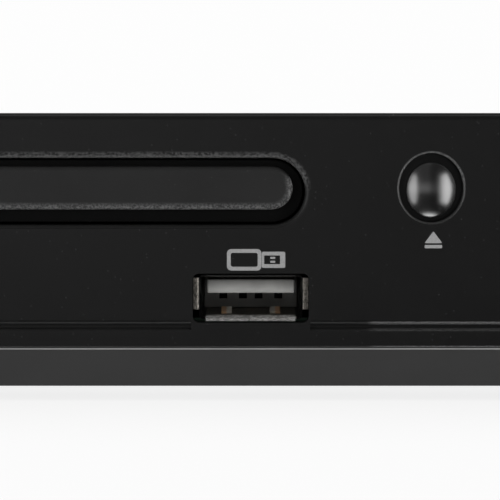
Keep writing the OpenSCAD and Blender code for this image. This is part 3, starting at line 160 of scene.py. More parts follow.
def blend(tree, share, first, second):
    """A colour between two others. Each is a colour or a socket, and the share is a socket."""
    node = tree.nodes.new("ShaderNodeMix")
    node.data_type = "RGBA"
    for index, value in ((0, share), (6, first), (7, second)):
        feed(node.inputs[index], (*value, 1) if isinstance(value, tuple) else value)
    return node.outputs[2]


def grey(level):
    """A colour without any hue."""
    return (level, level, level)


def span(tree, value, low, high, start=0.35, end=0.65):
    """Turns a value that runs from start to end into one that runs from low to high."""
    return add(tree, "MapRange", Value=value, From_Min=start, From_Max=end, To_Min=low,
               To_Max=high).outputs["Result"]


def ramp(tree, value, start, end, low, high):
    """A smooth step of a value: low at start and high at end."""
    result = span(tree, value, low, high, start, end)
    result.node.interpolation_type = "SMOOTHSTEP"
    return result


def combine(tree, operation, *values):
    """One value worked out from several others, pair by pair."""
    result = values[0]
    for value in values[1:]:
        node = add(tree, "Math")
        node.operation = operation
        feed(node.inputs[0], result)
        feed(node.inputs[1], value)
        result = node.outputs[0]
    return result


def product(tree, *values):
    """Several values multiplied."""
    return combine(tree, "MULTIPLY", *values)


def begin(name, colour, roughness, **inputs):
    """Starts a finish with one Principled shader: its tree and its shader."""
    material = finishes[name] = bpy.data.materials.new(name)
    material.use_nodes = True
    tree = material.node_tree
    tree.nodes.clear()
    shader = add(tree, "BsdfPrincipled", Base_Color=(*colour, 1), Roughness=roughness, **inputs)
    add(tree, "OutputMaterial", Surface=shader.outputs[0])
    return tree, shader


print("node tools ready")

# %% World
PALE = 0.985                        # what the camera sees round the player
EVEN_LIGHT = 0.40                   # what all rays get but those of the camera, glass and mirrors

bpy.context.scene.view_settings.view_transform = "Standard"
world = bpy.data.worlds.new("studio_room")
bpy.context.scene.world = world
world.use_nodes = True
tree = world.node_tree
tree.nodes.clear()
toward = add(tree, "SeparateXYZ", Vector=add(tree, "TexCoord").outputs["Generated"]).outputs


def zone(axis, *ends):
    """A part of the room, by how far a ray points along an axis."""
    return ramp(tree, toward[axis], *ends)


wall = product(tree, zone("Z", -0.25, 0.03, 0.04, 0.31), zone("Z", 0.05, 0.45, 1.0, 0.25),
               zone("X", -0.16, 0.16, 1.20, 0.45))
sides = combine(tree, "ADD", zone("X", -0.74, -0.60, 1.35, 0.0), zone("X", 0.35, 0.80, 0.0, 2.1))
panels = product(tree, zone("Z", -0.62, -0.46, 0.0, 1.0), zone("Z", 0.48, 0.66, 1.0, 0.0), sides,
                 zone("Y", -0.42, -0.22, 1.0, 0.0))
table = zone("Z", -0.97, -0.88, 3.0, 0.0)
ceiling = zone("Z", 0.95, 0.99, 0.0, 0.5)
mirrored = combine(tree, "ADD", wall, panels, table, ceiling)

rays = add(tree, "LightPath").outputs
unseen = blend(tree, rays["Is Glossy Ray"], grey(EVEN_LIGHT), mirrored)
straight_ray = combine(tree, "MAXIMUM", rays["Is Camera Ray"], rays["Is Transmission Ray"])
background = add(tree, "Background", Color=blend(tree, straight_ray, unseen, grey(PALE)))
add(tree, "OutputWorld", Surface=background.outputs[0])
print("world nodes:", len(tree.nodes))

# %% [markdown]
# ## The floor
# A wide matt sheet takes the shadow.

# %% Floor
FLOOR_REACH = 3.0
OWN_WHITE = 0.85                    # share of the sheet that the camera sees without its shadow

mesh = bpy.data.meshes.new("floor")
mesh.from_pydata([(x * FLOOR_REACH, y * FLOOR_REACH, 0) for x, y in ((-1, -1), (1, -1), (1, 1), (-1, 1))],
                 [], [(0, 1, 2, 3)])
floor = placed("floor", mesh)
tree, sheet = begin("matt_paper", grey(0.80), 0.9, Specular_IOR_Level=0.1)
glow = add(tree, "Emission", Color=(*grey(PALE), 1))
share = span(tree, add(tree, "LightPath").outputs["Is Camera Ray"], 0, OWN_WHITE, 0, 1)
mixed = add(tree, "MixShader")
for entry, value in zip(mixed.inputs, (share, sheet.outputs[0], glow.outputs[0])):
    feed(entry, value)
feed(tree.nodes["Material Output"].inputs["Surface"], mixed.outputs[0])
mesh.materials.append(finishes["matt_paper"])
floor.visible_glossy = False
print("floor:", 2 * FLOOR_REACH, "m wide")

# %% [markdown]
# ## Tools for finishes
# Each finish is one Principled shader whose colour, roughness and relief are fed by textures on the
# piece's own coordinates. A value that is the same all over stays on the shader's socket. Sizes and
# depths are in millimetres.

# %% Tools for finishes
def opened(name):
    """The tree and the shader of a finish, to add to them."""
    tree = finishes[name].node_tree
    return tree, tree.nodes["Principled BSDF"]


def coordinates(tree, kind="Object"):
    return add(tree, "TexCoord").outputs[kind]


def spots(tree, size, detail=2.0, stretch=(1, 1, 1), kind="TexNoise", output="Fac"):
    """Random values from 0 to 1 in soft spots or cells of about this size."""
    place = add(tree, "Mapping", Vector=coordinates(tree), Scale=stretch)
    texture = add(tree, kind, Vector=place.outputs["Vector"], Scale=1 / (size * MM))
    if kind == "TexNoise":
        texture.inputs["Detail"].default_value = detail
    return texture.outputs[output]


def relief(tree, shader, height, depth):
    """Raises the surface by a height from 0 to 1 times the depth, on top of any relief it has."""
    normal = shader.inputs["Normal"]
    bump = add(tree, "Bump", Height=height, Distance=depth * MM, Strength=1.0)
    if normal.is_linked:
        feed(bump.inputs["Normal"], normal.links[0].from_socket)
    feed(normal, bump.outputs["Normal"])


def along(tree, axis, origin, start, end):
    """0 on one side of start and 1 past end, both measured from an origin along an axis."""
    place = add(tree, "SeparateXYZ", Vector=coordinates(tree))
    return span(tree, place.outputs[axis], 0, 1, origin + start * MM, origin + end * MM)


def within(tree, axis, centre, outer, inner):
    """1 closer to a centre than inner and 0 past outer."""
    return product(tree, *(along(tree, axis, centre, side * outer, side * inner) for side in (-1, 1)))


def shade(colour, factor):
    """The colour made lighter or darker."""
    return tuple(min(1.0, part * factor) for part in colour)


def wander(shader, colour, value, low, high):
    """Lets the colour change between two shades of it, as a value does."""
    entry = shader.inputs["Base Color"]
    share = span(entry.id_data, value, 0, 1)
    feed(entry, blend(entry.id_data, share, shade(colour, low), shade(colour, high)))


def roughen(shader, roughness, value, low, high, *ends):
    """Lets the roughness change between two multiples of it, as a value does."""
    entry = shader.inputs["Roughness"]
    feed(entry, span(entry.id_data, value, roughness * low, roughness * high, *ends))


def recolour(name, share, colour):
    """Lays a second colour over a finish, by a share from 0 to 1."""
    tree, shader = opened(name)
    entry = shader.inputs["Base Color"]
    feed(entry, blend(tree, share, entry.links[0].from_socket, colour))


def fade(name, colour, *stretch):
    """Lays a second colour over a finish past a place along an axis, as along gives it."""
    recolour(name, along(finishes[name].node_tree, *stretch), colour)


print("tools ready")

# %% [markdown]
# ## Moulded plastic
# A moulded wall is never quite even: its gloss changes slowly across the part, handling leaves duller
# patches, and the mould's own fine grain breaks up every highlight. vary says how uneven a part is.

# %% Moulded plastic
def moulded(name, colour, roughness, grain=0.15, depth=0.0012, patch=9, vary=1.0, dust=0.0, **inputs):
    tree, shader = begin(name, colour, roughness, **inputs)
    wander(shader, colour, spots(tree, patch, 3), 1 - 0.12 * vary, 1 + 0.12 * vary)
    roughen(shader, roughness, spots(tree, patch / 4, 5), 1 - 0.15 * vary, 1 + 0.2 * vary)
    relief(tree, shader, spots(tree, grain, 2), depth)
    if dust:
        # Specks of dust: the bright centres of small cells
        cells = spots(tree, 1.1, kind="TexVoronoi", output="Distance")
        recolour(name, span(tree, cells, dust, 0, 0.03, 0.10), grey(0.25))


moulded("fascia_gloss", grey(0.0070), 0.24, grain=0.14, depth=0.0030, vary=0.4, dust=0.10)
moulded("key_gloss", grey(0.0040), 0.22, grain=0.22, depth=0.0022, vary=0.6, Coat_Weight=1.0,
        Coat_IOR=2.6, Coat_Roughness=0.22)
moulded("tray_front_satin", grey(0.0200), 0.42, grain=0.16, depth=0.010, vary=0.4, dust=0.10,
        Specular_IOR_Level=0.25)
moulded("tray_satin", grey(0.016), 0.38, grain=0.2, depth=0.004)
moulded("trim_grey", grey(0.038), 0.40, grain=0.10, depth=0.003, vary=0.3)
moulded("frame_plastic", grey(0.045), 0.5, grain=0.3, depth=0.005)
moulded("clamp_white", (0.72, 0.71, 0.67), 0.4)
moulded("gear_white", (0.76, 0.74, 0.66), 0.36)
# The tongue's white plastic is set to a mid grey: painted shade for the shell round it
moulded("port_white", (0.38, 0.38, 0.365), 0.5, patch=3)
moulded("component_black", grey(0.014), 0.55, grain=0.08, depth=0.004, patch=4)
moulded("component_blue", (0.010, 0.016, 0.060), 0.30)
moulded("turntable_black", grey(0.012), 0.4)
moulded("inlet_black", grey(0.014), 0.45, grain=0.2, depth=0.004)
moulded("jack_yellow", (0.78, 0.50, 0.02), 0.36)
moulded("jack_white", (0.78, 0.77, 0.73), 0.36)
moulded("jack_red", (0.56, 0.015, 0.012), 0.36)
moulded("receiver_window", (0.020, 0.002, 0.003), 0.10, depth=0.0003)
moulded("light_red", (0.35, 0.01, 0.01), 0.2, Transmission_Weight=0.35)
moulded("ferrite", grey(0.035), 0.6, grain=0.3, depth=0.01)
moulded("ceramic_tan", (0.40, 0.27, 0.15), 0.4)
print("plain plastics:", len(finishes))


# %% Wear, painted highlights and painted shade on the plastics
def end_of(node, depth, low=(-1, -1), high=(1, 1)):
    """Where the round right end of a slot or a bar is centred, as x and z, and its radius, from the
    points of a solid's front to this depth and between two corners."""
    points = [v.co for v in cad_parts[node].data.vertices if v.co.y < face_y + depth * MM
              and low[0] < v.co.x < high[0] and low[1] < v.co.z < high[1]]
    bottom, top = min(point.z for point in points), max(point.z for point in points)
    radius = (top - bottom) / 2
    return max(point.x for point in points) - radius, (bottom + top) / 2, radius


def painted_highlight_band(tree, end, inner, outer, direction):
    """0 at one distance from the edge of a slot or a bar with a round end and 1 at the other, with a fine grain, on
    the side that faces a direction. It marks where a highlight is painted on."""
    def vector(operation, value, other, output=0):
        node = add(tree, "VectorMath")
        node.operation = operation
        feed(node.inputs[0], value)
        node.inputs[1].default_value = other
        return node.outputs[output]

    x, z, radius = end
    offset = vector("MULTIPLY", vector("SUBTRACT", coordinates(tree), (x, 0, z)), (1, 0, 1))
    offset = vector("MAXIMUM", offset, (0, 0, -1))
    distance = vector("LENGTH", offset, (0, 0, 0), 1)
    side = combine(tree, "DIVIDE", vector("DOT_PRODUCT", offset, direction, 1), distance)
    near, far = (radius + place * MM for place in sorted((inner, outer)))
    band = ramp(tree, distance, near, far, float(inner > outer), float(inner < outer))
    return product(tree, band, ramp(tree, side, 0.0, 0.6, 0.0, 1.0),
                   span(tree, spots(tree, 0.26, 5), 0.10, 1.0, 0.40, 0.60))


bar_end = end_of("tray_front", 1.9)
bar_x, bar_z, reach = bar_end[0], bar_end[1], bar_end[2] + 3 * MM
slot_end = end_of("front_panel", 0.02, (bar_x - 20 * MM, bar_z - reach), (bar_x + reach, bar_z + reach))
print("bar end radius", round(bar_end[2] / MM, 2), "mm, slot end radius", round(slot_end[2] / MM, 2), "mm")

# The rounded edges of the fascia's openings are duller than its face. The upper lip of the tray's slot, and the rims
# of the key wells most where they face down, carry a painted highlight with a fine grain.
tree, shader = opened("fascia_gloss")
facing = add(tree, "SeparateXYZ", Vector=coordinates(tree, "Normal")).outputs
lip = product(tree, painted_highlight_band(tree, slot_end, 0.36, -0.2, (0.10, 0, 0.99)), along(tree, "Y", face_y, 0.8, 0.5))
edge = product(tree, ramp(tree, facing["Y"], -0.995, -0.90, 0.0, 1.0), along(tree, "Y", face_y, 0.8, 0.5),
               along(tree, "Z", top_z, -2.0, -3.0))
well_highlight = product(tree, edge, ramp(tree, facing["Z"], -0.5, 0.5, 1.0, 0.2), span(tree, spots(tree, 0.16, 4), 0, 1),
               along(tree, "X", slot_end[0], 12, 13))
recolour("fascia_gloss", lip, grey(0.085))
recolour("fascia_gloss", well_highlight, grey(0.20))
rough = shader.inputs["Roughness"]
feed(rough, combine(tree, "MAXIMUM", rough.links[0].from_socket, span(tree, edge, 0.0, 0.50, 0, 1)))

# A key's lacquered dome stands on a flange that is left plain
tree, shader = opened("key_gloss")
feed(shader.inputs["Coat Weight"], along(tree, "Y", face_y, 2.6, 2.3))

# The bar's lower edge and its round end carry a painted highlight with a fine grain. The plate behind the bar is the
# same part, painted almost black for the shade deep in the slot.
tree = finishes["tray_front_satin"].node_tree
recolour("tray_front_satin", painted_highlight_band(tree, bar_end, -1.10, 0.10, (0.70, 0, -0.71)), grey(0.21))
fade("tray_front_satin", grey(0.0012), "Y", face_y, 2.0, 2.3)

# The socket's tongue is painted darker towards the shell's top, a painted shade under the shell's roof
fade("port_white", (0.05, 0.049, 0.046), "Z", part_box("data_port_tongue")[1].z, -1.5, 0.1)

# %% [markdown]
# ## Metal
# Rolled, drawn and turned metal keeps fine lines from its making, all in one direction. Noise that is
# squeezed across that direction and stretched along it gives the lines, in both gloss and relief.

# %% Metal
def drawn_metal(name, colour, roughness, axis, line=0.05, depth=0.002):
    """Metal with fine lines along one axis."""
    tree, shader = begin(name, colour, roughness, Metallic=1.0)
    lines = spots(tree, line, 3, [0.03 if letter == axis else 1.0 for letter in "XYZ"])
    wander(shader, colour, spots(tree, 3, 4), 0.80, 1.1)
    roughen(shader, roughness, lines, 0.7, 1.4)
    relief(tree, shader, lines, depth)


drawn_metal("port_steel", (0.34, 0.32, 0.29), 0.38, "X", line=0.07, depth=0.008)
drawn_metal("contact_gold", (0.80, 0.58, 0.22), 0.28, "Y")
drawn_metal("spring_copper", (1.0, 0.66, 0.42), 0.55, "Y")
moulded("accent_bright", grey(0.55), 0.45, grain=0.2, vary=0.4, Metallic=0.7)
drawn_metal("plated_steel", (0.62, 0.61, 0.58), 0.32, "X")
drawn_metal("motor_steel", (0.56, 0.56, 0.55), 0.32, "Z")
drawn_metal("rod_steel", (0.62, 0.62, 0.61), 0.16, "Y", depth=0.0008)
drawn_metal("pickup_metal", (0.30, 0.30, 0.31), 0.42, "X")
drawn_metal("pulley_brass", (0.72, 0.52, 0.24), 0.30, "Z")
drawn_metal("barrel_metal", (0.66, 0.65, 0.63), 0.22, "Y")
drawn_metal("zinc_screw", (0.58, 0.58, 0.56), 0.35, "X")
drawn_metal("black_screw", grey(0.035), 0.42, "X")
drawn_metal("solder_tin", (0.66, 0.66, 0.64), 0.32, "X", line=0.3)

# The socket's lower rim is scratched where plugs slide in and painted brighter than bare steel, a painted highlight
# from below. Its side lips are painted dark, darkest where they bend out of the tube, and its upper lip is painted
# dark: painted shade.
tree, shader = opened("port_steel")
relief(tree, shader, spots(tree, 0.16, 4), 0.03)
sides = combine(tree, "MAXIMUM", along(tree, "X", socket.x, -5.75, -5.85), along(tree, "X", socket.x, 5.75, 5.85))
scratches = span(tree, spots(tree, 0.10, 3, (1, 1, 0.25)), 0, 1, 0.42, 0.6)
recolour("port_steel", sides, blend(tree, scratches, (0.11, 0.103, 0.093), (0.42, 0.39, 0.35)))
recolour("port_steel", product(tree, within(tree, "X", socket.x, 6.68, 6.55), sides), grey(0.012))
fade("port_steel", grey(0.03), "Z", socket.z, 2.4, 2.7)
rim = product(tree, along(tree, "Y", face_y, 1.5, 1.1), along(tree, "Z", socket.z, -2.0, -2.2),
              within(tree, "X", socket.x, 5.75, 5.65))
wear_and_highlight = span(tree, spots(tree, 0.12, 4, (0.2, 1, 1)), 0, 1, 0.40, 0.62)
recolour("port_steel", rim, blend(tree, wear_and_highlight, (0.50, 0.49, 0.47), (1.0, 0.99, 0.96)))

# The bright line's upper edge lies in the shadow of the joint
fade("accent_bright", grey(0.01), "Z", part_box("accent_strip")[1].z, -0.14, -0.08)

# The contacts' front ends are painted almost black, a painted shade under the tongue, and the springs are bare steel
# on their inner half
fade("contact_gold", grey(0.008), "Y", face_y, 9, 4)
tree = finishes["spring_copper"].node_tree
recolour("spring_copper", within(tree, "X", socket.x, 3.2, 3.0), (0.80, 0.76, 0.69))
print("finishes with the metals:", len(finishes))


# %% Steel sheet
def zinc_coat(name, colour, roughness):
    """Galvanised sheet: flat crystals a few millimetres wide, each with its own gloss."""
    tree, shader = begin(name, colour, roughness, Metallic=1.0)
    level = add(tree, "SeparateColor", Color=spots(tree, 5, kind="TexVoronoi", output="Color")).outputs
    feed(shader.inputs["Base Color"], blend(tree, level[0], shade(colour, 0.90), shade(colour, 1.05)))
    roughen(shader, roughness, level[1], 0.9, 1.15, 0, 1)
    relief(tree, shader, spots(tree, 0.4, 3), 0.002)


def stoved_paint(name, colour, roughness):
    """Stoved paint on steel: an orange-peel skin with a fine sparkle of texture on it."""
    tree, shader = begin(name, colour, roughness)
    wander(shader, colour, spots(tree, 30, 3), 0.97, 1.03)
    roughen(shader, roughness, spots(tree, 12, 4), 0.97, 1.03)
    relief(tree, shader, spots(tree, 0.7, 2), 0.012)
    relief(tree, shader, spots(tree, 0.18, 1), 0.006)


zinc_coat("galvanised_steel", (0.50, 0.51, 0.52), 0.38)
stoved_paint("painted_sheet", grey(0.022), 0.42)
stoved_paint("rear_sheet", grey(0.028), 0.46)
print("finishes with the sheets:", len(finishes))

# %% [markdown]
# ## Rubber, boards, windings and ribbons
# These finishes carry a pattern of their own: the copper under a board's lacquer, the turns of a
# winding and the side-by-side leads of a ribbon cable.

# %% Rubber, boards, windings and ribbons
def rubber(name, colour, roughness):
    tree, shader = begin(name, colour, roughness, Specular_IOR_Level=0.3)
    wander(shader, colour, spots(tree, 4, 3), 0.8, 1.3)
    relief(tree, shader, spots(tree, 0.25, 3), 0.01)


def circuit_board(name, mask, copper, turn):
    """Lacquered board: copper tracks that run in steps under the mask, with tinned holes. The turn
    brings the pattern into the board's plane."""
    tree, shader = begin(name, mask, 0.3)
    plane = add(tree, "Mapping", Vector=coordinates(tree), Rotation=turn)
    tracks = add(tree, "TexBrick", Vector=plane.outputs["Vector"], Scale=1 / (9 * MM), Mortar_Size=0.045,
                 Brick_Width=0.9, Row_Height=0.14).outputs["Fac"]
    hole = span(tree, spots(tree, 3.5, kind="TexVoronoi", output="Distance"), 1, 0, 0.10, 0.13)
    feed(shader.inputs["Base Color"], blend(tree, hole, blend(tree, tracks, mask, copper), (0.62, 0.60, 0.55)))
    relief(tree, shader, tracks, 0.03)


def banded(name, colour, gap_colour, pitch, axis, depth):
    """Rounded bands side by side along one axis, as on a winding or a ribbon cable."""
    tree, shader = begin(name, colour, 0.4)
    wave = add(tree, "TexWave", Vector=coordinates(tree), Scale=math.pi / 10 / (pitch * MM))
    wave.wave_type, wave.bands_direction, wave.wave_profile = "BANDS", axis, "SIN"
    feed(shader.inputs["Base Color"], blend(tree, wave.outputs["Fac"], gap_colour, colour))
    relief(tree, shader, wave.outputs["Fac"], depth)


rubber("foot_rubber", grey(0.018), 0.8)
rubber("belt_rubber", grey(0.012), 0.65)
rubber("pad_rubber", grey(0.02), 0.75)
LYING, STANDING = (0, 0, 0), (math.radians(90), 0, 0)
circuit_board("board_green", (0.010, 0.085, 0.035), (0.03, 0.17, 0.07), LYING)
circuit_board("key_board_green", (0.010, 0.085, 0.035), (0.03, 0.17, 0.07), STANDING)
circuit_board("board_tan", (0.42, 0.27, 0.12), (0.33, 0.20, 0.08), LYING)
banded("ribbon_grey", grey(0.42), grey(0.20), 1.0, "X", 0.2)
banded("coil_yellow", (0.62, 0.42, 0.06), (0.35, 0.2, 0.03), 1.1, "Z", 0.15)
begin("lens_glass", (0.45, 0.55, 0.80), 0.04, Transmission_Weight=0.8, Coat_Weight=1.0)
tree, shader = begin("print_grey", grey(0.28), 0.5, Specular_IOR_Level=0.3)
patches = span(tree, spots(tree, 0.12, 2), 0, 1)
feed(shader.inputs["Base Color"], blend(tree, patches, grey(0.28), grey(0.36)))
print("all finishes:", len(finishes))

# %% [markdown]
# ## Dressing the solids
# A solid keeps its mesh, and only its material slots change. Its finish has the name of its slot, but
# for four solids that share a slot with others and look different.

# %% Dress the solids
OWN_FINISH = {"key_boards": "key_board_green", "loader_dampers": "belt_rubber",
              "digital_video_socket": "plated_steel", "inlet_pins": "barrel_metal"}

for node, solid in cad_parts.items():
    slots = solid.data.materials
    finish = finishes[OWN_FINISH.get(node, slots[0].name)]
    for index in range(len(slots)):
        slots[index] = finish
print("dressed:", len(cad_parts), "solids")

# %% [markdown]
# ## Printed marks
# Each mark is a thin layer of ink on the flat face: closed outlines, filled and given the thickness of
# a silk-screen print. Outlines are in millimetres, x to the right and z up from the mark's middle.

# %% Tools for printed marks
INK = 0.02


def rounded(x, z, width, height, radius, steps=6):
    """The outline of a rectangle with round corners about a middle point."""
    points = []
    for corner, (side, up) in enumerate(((1, 1), (-1, 1), (-1, -1), (1, -1))):
        for step in range(steps + 1):
            angle = math.radians(90 * (corner + step / steps))
            points.append((x + side * (width / 2 - radius) + radius * math.cos(angle),
                           z + up * (height / 2 - radius) + radius * math.sin(angle)))
    return points


def softened(corners, radius, steps=5):
    """The outline of a polygon whose corners are rounded, given in anticlockwise order."""
    points = []
    for index, corner in enumerate(corners):
        here = Vector(corner)
        back = (Vector(corners[index - 1]) - here).normalized()
        on = (Vector(corners[(index + 1) % len(corners)]) - here).normalized()
        reach = radius / math.tan(back.angle(on) / 2)
        for step in range(steps + 1):
            share = step / steps
            points.append(tuple((1 - share) ** 2 * (here + reach * back) + 2 * share * (1 - share) * here
                                + share ** 2 * (here + reach * on)))
    return points


def arc(radius, start=0.0, turn=math.tau, steps=48):
    """Points on a circle about the middle, evenly from a start angle."""
    return [(radius * math.cos(start + turn * k / steps), radius * math.sin(start + turn * k / steps))
            for k in range(steps + (turn < math.tau))]


def printed(name, outlines, x, z, y=face_y, facing=-1, paint="print_grey"):
    """Ink on a face that looks along -Y, or along +Y where facing is 1. Inner outlines are holes."""
    curve = bpy.data.curves.new(name, "CURVE")
    curve.dimensions = "2D"
    curve.fill_mode = "BOTH"
    curve.extrude = INK / 2 * MM
    for outline in outlines:
        spline = curve.splines.new("POLY")
        spline.points.add(len(outline) - 1)
        for point, (right, up) in zip(spline.points, outline):
            point.co = (right * MM, up * MM, 0, 1)
        spline.use_cyclic_u = True
    holder = bpy.data.objects.new(name + "_outline", curve)
    mesh = bpy.data.meshes.new_from_object(holder)
    bpy.data.objects.remove(holder)
    mesh.transform(Matrix.Translation((x, y + facing * INK * 0.55 * MM, z))
                   @ Matrix.Rotation(math.pi if facing > 0 else 0, 4, "Z") @ Matrix.Rotation(math.pi / 2, 4, "X"))
    mesh.materials.append(finishes[paint])
    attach(placed(name, mesh), "case")


print("ink:", INK, "mm thick")

# %% Marks of the keys and the socket
KEY_MARK_DROP = 6.27 * MM           # from the middle of a key to the middle of its mark
SOCKET_MARK_RISE = 4.86 * MM        # from the middle of the socket to the middle of its mark
EJECT_MARK_RIGHT, SOCKET_MARK_RIGHT = 0.27 * MM, 0.67 * MM
POWER_GAP, POWER_REACH, POWER_LINE = math.radians(32), 1.0, 0.26

stroke = [arc(radius, math.pi / 2 + POWER_GAP, math.tau - 2 * POWER_GAP, 40)
          for radius in (POWER_REACH, POWER_REACH - POWER_LINE)]
KEY_MARKS = {
    "eject": [softened([(-1.13, -0.40), (1.13, -0.40), (0, 1.10)], 0.10), rounded(0, -0.83, 2.20, 0.42, 0.08)],
    "play": [softened([(-1.35, -0.9), (0.25, 0), (-1.35, 0.9)], 0.10),
             rounded(0.72, 0, 0.36, 1.7, 0.06), rounded(1.36, 0, 0.36, 1.7, 0.06)],
    "stop": [rounded(0, 0, 1.6, 1.6, 0.12)],
    "power": [stroke[0] + stroke[1][::-1], rounded(0, 0.72, POWER_LINE, 1.05, 0.06)],
}
mark_z = middle("eject_button").z - KEY_MARK_DROP
for key, outlines in KEY_MARKS.items():
    right = EJECT_MARK_RIGHT if key == "eject" else 0
    printed(key + "_mark", outlines, middle(key + "_button").x + right, mark_z)

# A memory stick: body and plug, each with its inner edge, and two windows in the plug
printed("socket_mark", [rounded(-1.50, 0, 4.36, 2.72, 0.55), rounded(-1.50, 0, 3.40, 1.76, 0.25),
                        rounded(2.20, 0, 2.96, 2.05, 0.20), rounded(2.02, 0, 2.00, 1.10, 0.08),
                        rounded(2.10, 0.25, 0.62, 0.26, 0.04), rounded(2.10, -0.25, 0.62, 0.26, 0.04)],
        socket.x + SOCKET_MARK_RIGHT, socket.z + SOCKET_MARK_RISE)
print("mark of the socket at z =", round((socket.z + SOCKET_MARK_RISE) / MM, 2), "mm")

# %% [markdown]
# ## Copies in place
# Parts that repeat, such as screws, are one template set out over a list of places by a small tree of
# geometry nodes. Each place has a turn and a stretch of its own. The copies end as one plain mesh.

# %% Tools for copies
def keep(name, mesh, finish, stands_for=None):
    """A finished piece: it rides on the case and replaces the solid that it stands for."""
    piece = placed(name, mesh)
    mesh.materials.clear()
    mesh.materials.append(finishes[finish])
    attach(piece, "case")
    if stands_for:
        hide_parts(stands_for)


def copies_tree():
    """Instances of a template object on points, turned and stretched by the points' own values."""
    tree = bpy.data.node_groups.new("copies_in_place", "GeometryNodeTree")
    tree.interface.new_socket("Points", in_out="INPUT", socket_type="NodeSocketGeometry")
    tree.interface.new_socket("Template", in_out="INPUT", socket_type="NodeSocketObject")
    tree.interface.new_socket("Copies", in_out="OUTPUT", socket_type="NodeSocketGeometry")
    nodes = {label: tree.nodes.new(kind) for label, kind in (
        ("in", "NodeGroupInput"), ("out", "NodeGroupOutput"), ("template", "GeometryNodeObjectInfo"),
        ("turn", "GeometryNodeInputNamedAttribute"), ("stretch", "GeometryNodeInputNamedAttribute"),
        ("rotation", "FunctionNodeEulerToRotation"), ("place", "GeometryNodeInstanceOnPoints"),
        ("solid", "GeometryNodeRealizeInstances"))}
    for label in ("turn", "stretch"):
        nodes[label].data_type = "FLOAT_VECTOR"
        nodes[label].inputs["Name"].default_value = label
    for start, output, end, entry in (
            ("in", "Points", "place", "Points"), ("in", "Template", "template", "Object"),
            ("template", "Geometry", "place", "Instance"), ("turn", "Attribute", "rotation", "Euler"),
            ("rotation", "Rotation", "place", "Rotation"), ("stretch", "Attribute", "place", "Scale"),
            ("place", "Instances", "solid", "Geometry"), ("solid", "Geometry", "out", "Copies")):
        tree.links.new(nodes[start].outputs[output], nodes[end].inputs[entry])
    return tree


COPIES = copies_tree()


def applied(thing, *others):
    """The mesh of an object after its modifiers. The objects themselves go."""
    graph = bpy.context.evaluated_depsgraph_get()
    mesh = bpy.data.meshes.new_from_object(thing.evaluated_get(graph))
    for used in (thing, *others):
        bpy.data.objects.remove(used)
    return mesh


def copies(template_mesh, places):
    """One mesh with the template at each place: (point, turn as Euler angles, stretch)."""
    points = bpy.data.meshes.new("places")
    points.from_pydata([place[0] for place in places], [], [])
    for label, index in (("turn", 1), ("stretch", 2)):
        values = points.attributes.new(label, "FLOAT_VECTOR", "POINT")
        values.data.foreach_set("vector", [part for place in places for part in place[index]])
    holder, template = placed("places", points), placed("template", template_mesh)
    modifier = holder.modifiers.new("copies", "NODES")
    modifier.node_group = COPIES
    names = {item.name: item.identifier for item in COPIES.interface.items_tree if item.in_out == "INPUT"}
    modifier[names["Template"]] = template
    mesh = applied(holder, template)
    for label in ("turn", "stretch"):
        if label in mesh.attributes:
            mesh.attributes.remove(mesh.attributes[label])
    return mesh


print("copies tree nodes:", len(COPIES.nodes))


# %% Tools for meshes
def as_mesh(work, outward=False):
    """A bmesh as a mesh, with its faces turned outward if asked."""
    if outward:
        bmesh.ops.recalc_face_normals(work, faces=work.faces)
    mesh = bpy.data.meshes.new("made")
    work.to_mesh(mesh)
    work.free()
    return mesh


def skin(work, loops):
    """Adds the faces between each closed loop of points and the next."""
    for here, there in zip(loops, loops[1:]):
        for k in range(len(here)):
            on = (k + 1) % len(here)
            work.faces.new((here[k], here[on], there[on], there[k]))


def joined(meshes):
    """Several meshes as one."""
    work = bmesh.new()
    for mesh in meshes:
        work.from_mesh(mesh)
    return as_mesh(work)


def smooth(meshes, angle):
    """Shades meshes smooth but for edges sharper than an angle in degrees."""
    for mesh in meshes:
        mesh.shade_smooth()
        mesh.set_sharp_from_angle(angle=math.radians(angle))


def turned(profile, steps=32):
    """A mesh turned about Z from (radius, height) pairs, from the axis out and round."""
    work = bmesh.new()
    verts = [work.verts.new((r * MM, 0, z * MM)) for r, z in profile]
    edges = [work.edges.new(pair) for pair in zip(verts, verts[1:])]
    bmesh.ops.spin(work, geom=verts + edges, cent=(0, 0, 0), axis=(0, 0, 1), angle=math.tau, steps=steps,
                   use_merge=True)
    bmesh.ops.remove_doubles(work, verts=work.verts, dist=1e-7)
    return as_mesh(work, outward=True)


def brick(work, low, high, taper=0.0):
    """Adds a box to a bmesh between two corners, with its foot drawn in by the taper."""
    corners = []
    for z, draw in ((low[2], taper), (high[2], 0.0)):
        for x, y in ((low[0] + draw, low[1] + draw), (high[0] - draw, low[1] + draw),
                     (high[0] - draw, high[1] - draw), (low[0] + draw, high[1] - draw)):
            corners.append(work.verts.new((x * MM, y * MM, z * MM)))
    for face in ((3, 2, 1, 0), (4, 5, 6, 7), (0, 1, 5, 4), (1, 2, 6, 5), (2, 3, 7, 6), (3, 0, 4, 7)):
        work.faces.new([corners[index] for index in face])


def softened_box(low, high, edge):
    """A box between two corners with bevelled edges."""
    work = bmesh.new()
    brick(work, low, high)
    bmesh.ops.bevel(work, geom=work.edges, offset=edge * MM, segments=2, profile=0.5, affect="EDGES")
    return as_mesh(work)


def cross(half_x, half_y, low, high, taper=0.0):
    """Two crossed bars about the Z axis, to cut with."""
    work = bmesh.new()
    for x, y in ((half_x, half_y), (half_y, half_x)):
        brick(work, (-x, -y, low), (x, y, high), taper)
    return as_mesh(work)


def carved(mesh, cutter):
    """The mesh with the cutter taken away."""
    stock, tool = placed("stock", mesh), placed("cutter", cutter)
    modifier = stock.modifiers.new("carve", "BOOLEAN")
    modifier.operation, modifier.solver, modifier.object = "DIFFERENCE", "EXACT", tool
    modifier.use_self = True
    return applied(stock, tool)


